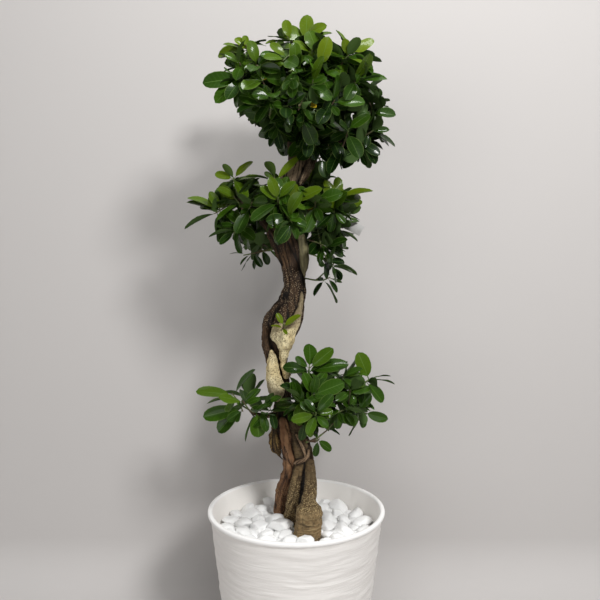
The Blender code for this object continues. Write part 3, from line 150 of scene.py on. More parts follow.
class Recipe:
    """A material in the making: its nodes, and the shader they feed."""

    def __init__(self, name: str) -> None:
        """Start a material with a bare Principled shader.

        Args:
            name: The material's name.
        """
        self.material = bpy.data.materials.new(name)
        self.material.use_nodes = True
        self.tree = self.material.node_tree
        self.shader = self.tree.nodes["Principled BSDF"]

    def node(self, kind: str, settings: dict[str, object], sockets: dict[str | int, object]) -> bpy.types.Node:
        """Add a node.

        Args:
            kind: The node's type.
            settings: Its own settings, set first; stops are the places and colours of a ramp.
            sockets: A value, Signal or colour for each input that is set.

        Returns:
            The new node.
        """
        made = self.tree.nodes.new(kind)
        for name, value in settings.items():
            if name == "stops":
                self._set_stops(made.color_ramp, value)
            else:
                setattr(made, name, value)
        for name, value in sockets.items():
            self.feed(made.inputs[name], value)
        return made

    def signal(self, kind: str, settings: dict[str, object], sockets: dict[str | int, object],
               output: str | int = 0) -> Signal:
        """One output of a node that is added."""
        return Signal(self, self.node(kind, settings, sockets).outputs[output])

    @staticmethod
    def _set_stops(ramp: bpy.types.ColorRamp, stops: Sequence[tuple[float, Colour]]) -> None:
        """Give a ramp its stops.

        Args:
            ramp: The ramp.
            stops: The place and the colour of each stop.
        """
        while len(ramp.elements) < len(stops):
            ramp.elements.new(1.0)
        for element, (place, colour) in zip(ramp.elements, stops):
            element.position = place
            element.color = (*colour, 1.0)

    def feed(self, socket: bpy.types.NodeSocket, value: object) -> None:
        """Link a Signal to a socket, or set the socket's own value.

        Args:
            socket: The input.
            value: The Signal, number, vector or colour.
        """
        if isinstance(value, Signal):
            self.tree.links.new(value.socket, socket)
        elif isinstance(value, tuple) and len(value) == 3 and socket.type == "RGBA":
            socket.default_value = (*value, 1.0)
        else:
            socket.default_value = value

    def maths(self, operation: str, *values: "Signal | float") -> Signal:
        """Add a Math node on up to three values."""
        return self.signal("ShaderNodeMath", {"operation": operation}, dict(enumerate(values)))

    def coordinates(self, stretch: Place = EVEN) -> Signal:
        """The piece's own coordinates, each times a factor."""
        place = self.signal("ShaderNodeTexCoord", {}, {}, "Object")
        return self.signal("ShaderNodeVectorMath", {"operation": "MULTIPLY"}, {0: place, 1: stretch})

    def noise(self, scale: float, detail: float = 3.0, stretch: Place = EVEN,
              roughness: float = 0.55, warp: float = 0.0) -> Signal:
        """Cloudy noise from 0 to 1 over the piece's own coordinates.

        Args:
            scale: Clouds to a metre.
            detail: How many finer layers it has.
            stretch: How much closer it lies along each axis.
            roughness: How strong the finer layers are.
            warp: How far the clouds are pulled about.

        Returns:
            The noise.
        """
        return self.signal("ShaderNodeTexNoise", {}, {
            "Vector": self.coordinates(stretch), "Scale": scale, "Detail": detail,
            "Roughness": roughness, "Distortion": warp})

    def cells(self, scale: float, stretch: Place = EVEN) -> Signal:
        """Distance to the nearest of many scattered points."""
        return self.signal(
            "ShaderNodeTexVoronoi", {}, {"Vector": self.coordinates(stretch), "Scale": scale}, "Distance")

    def attribute(self, name: str) -> Signal:
        """A number that the mesh carries."""
        return self.signal("ShaderNodeAttribute", {"attribute_name": name}, {}, "Fac")

    def surface_map(self) -> tuple[Signal, Signal]:
        """Both coordinates of the mesh's own map."""
        parts = self.node("ShaderNodeSeparateXYZ", {}, {0: self.signal("ShaderNodeUVMap", {}, {})})
        return Signal(self, parts.outputs[0]), Signal(self, parts.outputs[1])

    def ramp(self, value: Signal, stops: Sequence[tuple[float, Colour]]) -> Signal:
        """The colour of a ramp at a value."""
        return self.signal("ShaderNodeValToRGB", {"stops": stops}, {"Fac": value}, "Color")

    def mix(self, share: "Signal | float", low: "Signal | Colour", high: "Signal | Colour") -> Signal:
        """One colour laid over another by a share from 0 to 1."""
        return self.signal("ShaderNodeMix", {"data_type": "RGBA"}, {0: share, 6: low, 7: high}, 2)

    def layers(self, colour: "Signal | Colour", *over: "tuple[Signal | float, Signal | Colour]") -> Signal:
        """Colours laid over a first one, in order.

        Args:
            colour: The first.
            *over: The share and the colour of each that is laid over it.

        Returns:
            The outcome.
        """
        for share, laid in over:
            colour = self.mix(share, colour, laid)
        return colour

    def bump(self, height: Signal, distance: float, strength: float = 1.0) -> Signal:
        """The normal of a surface raised by a height from 0 to 1 times a distance."""
        return self.signal("ShaderNodeBump", {}, {"Height": height, "Distance": distance, "Strength": strength})

    def finish(self, **sockets: object) -> bpy.types.Material:
        """Feed the shader's sockets.

        Args:
            **sockets: The value of each, its name with _ for a space.

        Returns:
            The material.
        """
        for name, value in sockets.items():
            self.feed(self.shader.inputs[name.replace("_", " ")], value)
        return self.material


# ---- Finishes ----

@dataclass(frozen=True)
class Glaze:
    """The planter's matt white glaze, brushed on in level strokes outside and smooth inside, with painted shade in
    the strokes' grooves, painted light on the inner wall and a painted highlight on the lip.
    """

    base: Colour = (0.87, 0.843, 0.812)
    # Painted shade laid in the low grooves of the brushed strokes.
    shade: Colour = (0.79, 0.762, 0.730)
    # Painted light: the inner wall is made lighter than the outside.
    inner: Colour = (0.93, 0.90, 0.86)
    # Painted highlight on the top of the lip.
    lip_highlight: Colour = (0.96, 0.95, 0.935)
    stroke_scale: float = 9.0
    stroke_aspect: float = 16.0
    grain_scale: float = 900.0
    groove_shade_share: float = 0.35
    calm: float = 0.8
    depth: float = 0.0016

    def material(self) -> bpy.types.Material:
        """Make the material.

        Returns:
            The material.
        """
        recipe = Recipe("brushed_white_glaze")
        level = (1.0, 1.0, self.stroke_aspect)
        strokes = recipe.noise(self.stroke_scale, 5.0, level, roughness=0.62, warp=0.4)
        fine = recipe.noise(4 * self.stroke_scale, 3.0, level)
        grains = recipe.noise(self.grain_scale, 2.0)
        inside, lip = recipe.attribute("inside"), recipe.attribute("lip")
        # Painted shade darkens the strokes' grooves, painted light brightens the inner wall and a painted highlight
        # brightens the lip.
        colour = recipe.layers(
            self.base, (strokes.step(0.62, 0.40) * self.groove_shade_share, self.shade), (inside * 0.9, self.inner),
            (lip * 0.8, self.lip_highlight))
        calmed = (1.0 - self.calm * inside) * (1.0 - self.calm * lip)
        height = (strokes * 0.7 + fine * 0.3) * calmed + grains * 0.05
        return recipe.finish(
            Base_Color=colour, Roughness=0.42 + 0.2 * fine, Normal=recipe.bump(height, self.depth, 0.9))


@dataclass(frozen=True)
class Compost:
    """Dark, crumbly potting mix."""

    dark: Colour = (0.012, 0.009, 0.007)
    pale: Colour = (0.055, 0.040, 0.028)
    crumb_scale: float = 420.0
    crumb_depth: float = 0.004

    def material(self) -> bpy.types.Material:
        """Make the material.

        Returns:
            The material.
        """
        recipe = Recipe("dark_potting_mix")
        crumbs = recipe.noise(self.crumb_scale, 5.0, roughness=0.7)
        colour = recipe.mix(crumbs.step(0.45, 0.75), self.dark, self.pale)
        return recipe.finish(Base_Color=colour, Roughness=0.95, Normal=recipe.bump(crumbs, self.crumb_depth))


@dataclass(frozen=True)
class WhiteStone:
    """White marble, tumbled smooth, with faint grey clouds."""

    white: Colour = (0.93, 0.93, 0.92)
    cloud: Colour = (0.78, 0.775, 0.76)
    cloud_scale: float = 45.0
    cloud_share: float = 0.55
    pit_scale: float = 700.0
    pit_depth: float = 0.0005

    def material(self) -> bpy.types.Material:
        """Make the material.

        Returns:
            The material.
        """
        recipe = Recipe("tumbled_white_marble")
        clouds = recipe.noise(self.cloud_scale, 5.0, roughness=0.6, warp=0.8)
        pits = recipe.noise(self.pit_scale, 3.0)
        colour = recipe.mix(clouds.step(0.52, 0.80) * self.cloud_share, self.white, self.cloud)
        return recipe.finish(
            Base_Color=colour, Roughness=0.38 + 0.25 * pits, Normal=recipe.bump(pits, self.pit_depth, 0.5))


@dataclass(frozen=True)
class Bark:
    """The skin of a stem: streaks along it, freckles on it, rings round it, and darker creases, partly dark bark and
    partly painted shade.

    Its mesh says where the freckles stand (speckle), where painted shade falls in its creases, where it meets other
    stems and on its flank towards them (the crease and contact shade), and where painted shade from the foliage
    darkens it, or, below 0, where it is paler (shade).
    """

    name: str
    slot: str
    base: Colour
    dark: Colour
    light: Colour
    freckle: Colour
    streak_scale: float = 55.0
    streak_aspect: float = 0.22
    freckle_scale: float = 240.0
    freckle_share: float = 0.30
    fibre_shade: float = 0.45
    ground_shade: float = 0.35
    # Near-black painted shade for the deepest creases and the gaps between stems.
    deep_shade: Colour = (0.006, 0.004, 0.0025)
    # The colour of the paler band, where the shade is below 0.
    pale_band: Colour = (0.540, 0.400, 0.250)
    rings: float = 0.0
    ring_scale: float = 75.0
    patch_scale: float = 28.0
    roughness: float = 0.72
    bump: float = 0.0016

    def material(self) -> bpy.types.Material:
        """Make the material.

        Returns:
            The material.
        """
        recipe = Recipe(self.name)
        along = (1.0, 1.0, self.streak_aspect)
        speckle, shade, crease_and_contact_shade = (recipe.attribute(name) for name in ("speckle", "shade", "crease_and_contact_shade"))
        streaks = recipe.noise(self.streak_scale, 5.0, along, roughness=0.62, warp=0.3)
        fibres = recipe.noise(6 * self.streak_scale, 3.0, along)
        patches = recipe.noise(self.patch_scale, 4.0, warp=0.5)
        cells = recipe.cells(self.freckle_scale, (1.0, 1.0, 1.5))
        freckles = cells.step(self.freckle_share, 0.6 * self.freckle_share) * speckle
        level = recipe.noise(self.ring_scale, 3.0, (0.30, 0.30, 5.0), roughness=0.5, warp=0.2)
        ringing = level.step(0.50, 0.62) * self.rings
        # Painted shade: the shade attribute darkens the bark under the foliage. The crease and contact shade darkens
        # its creases and the places where stems meet, to near black in the deepest of it. Below 0, the shade
        # attribute makes the bark paler in a band.
        colour = recipe.layers(
            self.base, (streaks.step(0.40, 0.66), self.light), (patches.step(0.52, 0.72) * 0.5, self.dark),
            (fibres.step(0.52, 0.36) * self.fibre_shade, self.dark), (ringing, self.light),
            (speckle * self.ground_shade, self.dark), (freckles * 0.9, self.freckle), (shade * 0.82, self.dark),
            (shade * -1.0 * (streaks * 1.8 - 0.25), self.pale_band), (crease_and_contact_shade.step(0.15, 0.75) * 0.9, self.dark),
            (crease_and_contact_shade.step(0.60, 1.0) * 0.9, self.deep_shade))
        height = streaks * 0.45 + fibres * 0.25 + freckles * 0.3 + ringing * 0.5
        return recipe.finish(
            Base_Color=colour, Roughness=self.roughness + 0.15 * fibres, Specular_IOR_Level=0.3,
            Normal=recipe.bump(height, self.bump))


@dataclass(frozen=True)
class LeafSkin:
    """Leathery leaves: dark and glossy when old, yellow-green and duller when young, paler beneath, with painted
    shade deep inside a tier and painted light at its top and outside.
    """

    old_and_shaded: Colour = (0.0052, 0.0190, 0.0016)
    grown: Colour = (0.031, 0.081, 0.0032)
    young_and_lit: Colour = (0.156, 0.216, 0.006)
    turned: Colour = (0.75, 0.50, 0.02)
    beneath: Colour = (0.060, 0.105, 0.030)
    vein: Colour = (0.130, 0.230, 0.050)
    edge: Colour = (0.250, 0.350, 0.090)
    grown_at: float = 0.42
    vein_pairs: float = 11.0
    vein_rise: float = 0.30
    mottle_scale: float = 160.0
    gloss: float = 0.32
    gloss_beneath: float = 0.02
    gloss_lost_young: float = 0.85

    def material(self) -> bpy.types.Material:
        """Make the material.

        Returns:
            The material.
        """
        recipe = Recipe("glossy_fig_leaf")
        across, along = recipe.surface_map()
        aside = abs(across * 2.0 - 1.0)
        youth_and_light, chance = recipe.attribute("youth_and_light"), recipe.attribute("chance")
        under, gone = recipe.attribute("underside"), recipe.attribute("turned")
        mottle = recipe.noise(self.mottle_scale, 3.0)
        midrib = aside.step(0.055, 0.012)
        phase = ((along - aside * self.vein_rise * 0.35) * self.vein_pairs).fraction()
        side_veins = abs(phase - 0.5).step(0.10, 0.02) * aside.step(0.98, 0.75)
        margin = aside.step(0.90, 0.99)
        # The blade's colour follows youth mixed with painted light: darker deep in a tier, lighter at its top and
        # outside.
        blade = recipe.ramp(youth_and_light + 0.22 * chance + 0.10 * mottle - 0.11,
                            ((0.0, self.old_and_shaded), (self.grown_at, self.grown), (1.0, self.young_and_lit)))
        colour = recipe.layers(
            blade, (gone, self.turned), (midrib * 0.55 + side_veins * 0.08, self.vein),
            (margin * 0.34, self.edge), (under * 0.8, self.beneath))
        height = 0.6 - midrib * 0.5 - side_veins * 0.25 + mottle * 0.1
        gloss = (self.gloss - (self.gloss - self.gloss_beneath) * under) * (1.0 - self.gloss_lost_young * youth_and_light)
        return recipe.finish(
            Base_Color=colour, Roughness=0.36 + 0.25 * under + 0.08 * mottle, Specular_IOR_Level=0.08,
            Coat_Weight=gloss, Coat_Roughness=0.13, Normal=recipe.bump(height, 0.0006, 0.7))


@dataclass(frozen=True)
class TwigSkin:
    """Thin green twigs with brown patches."""

    green: Colour = (0.12, 0.17, 0.045)
    brown: Colour = (0.085, 0.050, 0.030)
    patch_scale: float = 60.0
    grain_scale: float = 900.0

    def material(self) -> bpy.types.Material:
        """Make the material.

        Returns:
            The material.
        """
        recipe = Recipe("green_brown_twig")
        patches = recipe.noise(self.patch_scale, 4.0)
        fine = recipe.noise(self.grain_scale, 2.0)
        colour = recipe.mix(patches.step(0.42, 0.62), self.green, self.brown)
        return recipe.finish(Base_Color=colour, Roughness=0.7, Normal=recipe.bump(fine, 0.0004))


@dataclass(frozen=True)
class LabelPlastic:
    """A blank plant label of greyish white plastic, scuffed a little."""

    base: Colour = (0.42, 0.415, 0.40)
    scuffed: Colour = (0.34, 0.335, 0.32)
    scuff_scale: float = 120.0

    def material(self) -> bpy.types.Material:
        """Make the material.

        Returns:
            The material.
        """
        recipe = Recipe("blank_label_plastic")
        scuffs = recipe.noise(self.scuff_scale, 4.0)
        colour = recipe.mix(scuffs.step(0.45, 0.7), self.base, self.scuffed)
        return recipe.finish(Base_Color=colour, Roughness=0.5 + 0.1 * scuffs, Normal=recipe.bump(scuffs, 0.0002))


@dataclass(frozen=True)
class StudioPaint:
    """The plain pale paint of the floor and backdrop, which is seen from its front only."""

    base: Colour = (0.530, 0.509, 0.495)

    def material(self) -> bpy.types.Material:
        """Make the material.

        Returns:
            The material.
        """
        recipe = Recipe("pale_studio_paint")
        recipe.finish(Base_Color=self.base, Roughness=0.9)
        back = recipe.signal("ShaderNodeNewGeometry", {}, {}, "Backfacing")
        clear = recipe.signal("ShaderNodeBsdfTransparent", {}, {})
        solid = Signal(recipe, recipe.shader.outputs[0])
        both = recipe.signal("ShaderNodeMixShader", {}, {0: back, 1: solid, 2: clear})
        output = next(n for n in recipe.tree.nodes if n.type == "OUTPUT_MATERIAL")
        recipe.feed(output.inputs["Surface"], both)
        return recipe.material


# ---- Modelling with the operators ----

class Bench:
    """Picks objects and parts of meshes, and applies operators to them."""

    @staticmethod
    def take(*items: bpy.types.Object) -> None:
        """Select objects alone, the first one active.

        Args:
            *items: The objects.
        """
        bpy.ops.object.select_all(action="DESELECT")
        for item in items:
            item.select_set(True)
        bpy.context.view_layer.objects.active = items[0]

    @staticmethod
    @contextmanager
    def editing(item: bpy.types.Object) -> Iterator[bmesh.types.BMesh]:
        """Edit an object's mesh, with nothing selected at first.

        Args:
            item: The object.

        Yields:
            The mesh in edit mode.
        """
        Bench.take(item)
        bpy.ops.object.mode_set(mode="EDIT")
        bpy.ops.mesh.select_mode(type="VERT")
        bpy.ops.mesh.select_all(action="DESELECT")
        yield bmesh.from_edit_mesh(item.data)
        bpy.ops.object.mode_set(mode="OBJECT")

    @staticmethod
    def pick(item: bpy.types.Object, test: Callable[[bmesh.types.BMVert], bool]) -> None:
        """Select the vertices that pass a test, and no others, in edit mode.

        Args:
            item: The object.
            test: Says whether a vertex is wanted.
        """
        bpy.ops.mesh.select_all(action="DESELECT")
        mesh = bmesh.from_edit_mesh(item.data)
        for vert in [v for v in mesh.verts if test(v)]:
            vert.select = True
        mesh.select_flush_mode()
        bmesh.update_edit_mesh(item.data)

    @staticmethod
    def modify(item: bpy.types.Object, kind: str, **settings: object) -> None:
        """Put a modifier on an object and apply it.

        Args:
            item: The object.
            kind: The modifier's type.
            **settings: The modifier's own settings.
        """
        Bench.take(item)
        made = item.modifiers.new(kind.lower(), kind)
        for name, value in settings.items():
            setattr(made, name, value)
        bpy.ops.object.modifier_apply(modifier=made.name)

    @staticmethod
    def merge(distance: float) -> None:
        """Merge every vertex of the edited mesh with those close to it."""
        bpy.ops.mesh.select_all(action="SELECT")
        bpy.ops.mesh.remove_doubles(threshold=distance)

    @staticmethod
    def smooth(item: bpy.types.Object, angle: float | None = None) -> None:
        """Shade an object smooth, but for edges sharper than an angle in degrees.

        Args:
            item: The object.
            angle: The angle, or None to smooth every edge.
        """
        Bench.take(item)
        if angle is None:
            bpy.ops.object.shade_smooth()
        else:
            bpy.ops.object.shade_smooth_by_angle(angle=math.radians(angle))

    @staticmethod
    def merged_copy(node: str, name: str) -> bpy.types.Object:
        """A copy of a CAD node whose loose triangles are merged into one skin.

        Args:
            node: The CAD node.
            name: The copy's name.

        Returns:
            The copy.
        """
        item = bpy.data.objects.new(name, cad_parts[node].data.copy())
        bpy.context.scene.collection.objects.link(item)
        with Bench.editing(item):
            Bench.merge(0.00002)
        return item

    @staticmethod
    def turned(name: str, outline: Sequence[tuple[float, float]], steps: int) -> bpy.types.Object:
        """A closed shell turned round the upright axis.

        Args:
            name: Its name.
            outline: Radius and height of each point of its outline, from the axis and back to it.
            steps: How many faces go round it.

        Returns:
            The shell.
        """
        bpy.ops.mesh.primitive_plane_add(size=0.001, location=(0.0, 0.0, outline[0][1]))
        item = bpy.context.object
        item.name = name
        with Bench.editing(item):
            bpy.ops.mesh.select_all(action="SELECT")
            bpy.ops.mesh.merge(type="CENTER")
            for (radius, z), (ahead, above) in zip(outline, outline[1:]):
                bpy.ops.mesh.extrude_vertices_move(
                    TRANSFORM_OT_translate={"value": (ahead - radius, 0.0, above - z)})
            bpy.ops.mesh.select_all(action="SELECT")
            bpy.ops.mesh.spin(steps=steps, angle=math.tau, center=ORIGIN, axis=UP)
            Bench.merge(0.00001)
            bpy.ops.mesh.normals_make_consistent(inside=False)
        return item

    @staticmethod
    def copied(pattern: bpy.types.Object, name: str, place: Matrix) -> bpy.types.Object:
        """A copy of a pattern, with a mesh of its own that lies in its place.

        Args:
            pattern: What is copied.
            name: The copy's name.
            place: Where it lies.

        Returns:
            The copy.
        """
        copy = bpy.data.objects.new(name, pattern.data.copy())
        copy.data.transform(place)
        bpy.context.scene.collection.objects.link(copy)
        return copy

    @staticmethod
    def join(*items: bpy.types.Object) -> None:
        """Join objects into the first of them."""
        Bench.take(*items)
        bpy.ops.object.join()

    @staticmethod
    def settle(item: bpy.types.Object, material: bpy.types.Material, slot: str, *nodes: str) -> None:
        """Dress a finished piece, let it ride on the frame and hide the CAD nodes it stands for.

        Args:
            item: The piece.
            material: Its finish.
            slot: Its material slot in the record, which is not used.
            *nodes: The CAD nodes.
        """
        item.data.materials.clear()
        item.data.materials.append(material)
        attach(item, "root")
        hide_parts(*nodes)
        LOG.info("%s: %d faces", item.name, len(item.data.polygons))


# ---- Planter, soil and pebbles ----

@dataclass
class Planter:
    """The round planter: a turned shell with a rounded lip, brushed ridges and three drain holes."""

    wall: float = 0.010
    foot_radius: float = 0.111
    flare: float = 0.035
    flare_power: float = 0.95
    flare_end: float = 0.010
    lip_height: float = 0.0070
    lip_radius: float = 0.1497
    lip_width: float = 0.0128
    foot_ring: float = 0.014
    boss_radius: float = 0.032
    bevel: float = 0.001
    recess: float = 0.003
    floor_top: float = 0.014
    drain_radius: float = 0.008
    drain_circle: float = 0.062
    drain_bearings: tuple[float, ...] = (90.0, 210.0, 330.0)
    wall_rows: int = 150
    inner_rows: int = 12
    inner_draft: float = 0.003
    spin_steps: int = 180
    ridge_depth: float = 0.0011
    faint: float = 0.2
    height: float = field(init=False)

    def __post_init__(self) -> None:
        """Take the height from the frame."""
        self.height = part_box("planter")[1].z

    def outer_radius(self, z: float) -> float:
        """The wall's outer radius at a height."""
        share = max(z, 0.0) / (self.height - self.flare_end)
        return self.foot_radius + self.flare * share ** self.flare_power

    def foot(self) -> list[tuple[float, float]]:
        """The outline under the planter: the flush middle, the recess and the foot ring."""
        boss, ring, edge = self.boss_radius, self.foot_radius - self.foot_ring, self.bevel
        return [(0.0, 0.0), (boss - edge, 0.0), (boss, edge), (boss + edge, self.recess), (ring - edge, self.recess),
                (ring, edge), (ring + edge, 0.0), (self.foot_radius - 0.003, 0.0),
                (self.foot_radius - 0.0012, 0.0006)]

    def lip(self) -> list[tuple[float, float]]:
        """The outline of the rounded lip, from under it over its top to the inner wall."""
        top, under, lip = self.height, self.height - self.lip_height, self.lip_radius
        return [(self.outer_radius(under) + 0.0006, under - 0.0004), (lip - 0.0016, under + 0.0003),
                (lip - 0.0005, under + 0.0010), (lip, under + 0.0022), (lip, top - 0.0026),
                (lip - 0.0004, top - 0.0012), (lip - 0.0013, top - 0.0003), (lip - 0.0024, top), (lip - 0.0050, top),
                (lip - 0.0062, top - 0.0003), (lip - 0.0072, top - 0.0011), (lip - 0.0080, top - 0.0030)]

    def profile(self) -> list[tuple[float, float]]:
        """The shell's outline, from under its middle round to its floor.

        Returns:
            Radius and height of each point.
        """
        points = self.foot()
        for i in range(self.wall_rows + 1):
            z = 0.0018 + (self.height - self.lip_height - 0.0032) * i / self.wall_rows
            points.append((self.outer_radius(z), z))
        points += self.lip()
        for i in range(1, self.inner_rows + 1):
            z = self.height - 0.010 - (self.height - 0.010 - self.floor_top - 0.006) * i / self.inner_rows
            points.append((self.outer_radius(z) - self.wall + self.inner_draft * (1 - i / self.inner_rows), z))
        inner = self.outer_radius(self.floor_top) - self.wall
        return points + [
            (inner - 0.002, self.floor_top + 0.0015), (inner - 0.006, self.floor_top), (0.0, self.floor_top)]

    def stroke_rise(self, x: float, y: float, z: float) -> float:
        """How far the strokes of the glaze stand out, in ridge depths.

        Args:
            x: How far the place faces right, from -1 to 1.
            y: How far it faces back.
            z: Its height.

        Returns:
            The rise, which is mostly inwards.
        """
        level = z + 0.013 * noise.noise(Vector((x * 1.8, y * 1.8, z * 9.0)))
        stroke = noise.noise(Vector((x * 3.4, y * 3.4, level * 300.0)))
        broad = noise.noise(Vector((x * 2.2 + 4.0, y * 2.2, level * 105.0)))
        patch = max(0.0, 0.50 + 1.3 * noise.noise(Vector((x * 3.0 + 9.0, y * 3.0, z * 30.0))))
        return 0.75 * math.copysign(abs(stroke) ** 0.75, stroke) * patch + 1.15 * broad - 0.9

    def brush(self, item: bpy.types.Object) -> None:
        """Raise the level strokes of the glaze on the outer wall, and a few faint ones inside.

        Args:
            item: The shell.
        """
        for vert in item.data.vertices:
            radius, z = math.hypot(vert.co.x, vert.co.y), vert.co.z
            if z < 0.004 or z > self.height - self.lip_height - 0.002 or radius < 0.05:
                continue
            outside = radius > self.outer_radius(z) - 0.5 * self.wall
            way = vert.co / radius
            depth = self.ridge_depth if outside else self.faint * self.ridge_depth
            rise = depth * self.stroke_rise(way.x, way.y, z)
            vert.co.x += way.x * rise
            vert.co.y += way.y * rise

    def bore(self, item: bpy.types.Object) -> None:
        """Bore the drain holes through the floor.

        Args:
            item: The shell.
        """
        for bearing in self.drain_bearings:
            turn = math.radians(bearing)
            place = (self.drain_circle * math.cos(turn), self.drain_circle * math.sin(turn), self.floor_top / 2)
            bpy.ops.mesh.primitive_cylinder_add(vertices=32, radius=self.drain_radius, depth=0.03, location=place)
            drill = bpy.context.object
            Bench.modify(item, "BOOLEAN", operation="DIFFERENCE", object=drill, solver="EXACT")
            bpy.data.objects.remove(drill)

    def mark_inside(self, item: bpy.types.Object) -> None:
        """Say which faces belong to the smooth inner wall and the lip.

        Args:
            item: The shell.
        """
        marks = item.data.attributes.new("inside", "FLOAT", "FACE")
        lips = item.data.attributes.new("lip", "FLOAT", "FACE")
        under = self.height - self.lip_height
        for face, mark, lip in zip(item.data.polygons, marks.data, lips.data):
            radius, z = math.hypot(face.center.x, face.center.y), face.center.z
            lip.value = float(z > under - 0.001 and radius > self.lip_radius - self.lip_width)
            mark.value = float(radius < self.outer_radius(z) - 0.6 * self.wall and lip.value < 0.5)

    def build(self, glaze: Glaze) -> None:
        """Turn the shell, bore its drain holes and dress it.

        Args:
            glaze: Its finish.
        """
        item = Bench.turned("planter_shell", self.profile(), self.spin_steps)
        self.brush(item)
        self.bore(item)
        Bench.smooth(item, 50)
        self.mark_inside(item)
        Bench.settle(item, glaze.material(), "white_planter", "planter")


@dataclass
class Soil:
    """The potting mix under the pebbles, with a crumbly top."""

    rings: int = 34
    steps: int = 120
    crumb: float = 0.0022
    crumb_scale: float = 160.0
    room: float = 0.0012
    taper: float = 0.13

    def build(self, compost: Compost) -> None:
        """Turn a flat plug of soil, roughen its top and dress it.

        Args:
            compost: Its finish.
        """
        low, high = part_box("potting_soil")
        base = high.x - self.room - (high.z - low.z) * self.taper
        outline = [(0.0, low.z), (base - 0.004, low.z), (base, low.z + 0.004), (high.x - self.room, high.z - 0.002)]
        outline += [((high.x - 0.0016) * (1 - i / self.rings), high.z - 0.0005) for i in range(self.rings + 1)]
        item = Bench.turned("potting_mix", outline, self.steps)
        for vert in item.data.vertices:
            if vert.co.z > high.z - 0.001:
                vert.co.z += self.crumb * noise.fractal(vert.co * self.crumb_scale, 0.8, 2.2, 3)
        Bench.smooth(item)
        Bench.settle(item, compost.material(), "potting_soil", "potting_soil")


@dataclass
class Stone:
    """Where a stone lies, seen from above, and its size."""

    x: float
    y: float
    size: float

    def away(self, x: float, y: float) -> Vector:
        """The way to it from a place."""
        return Vector((self.x - x, self.y - y))


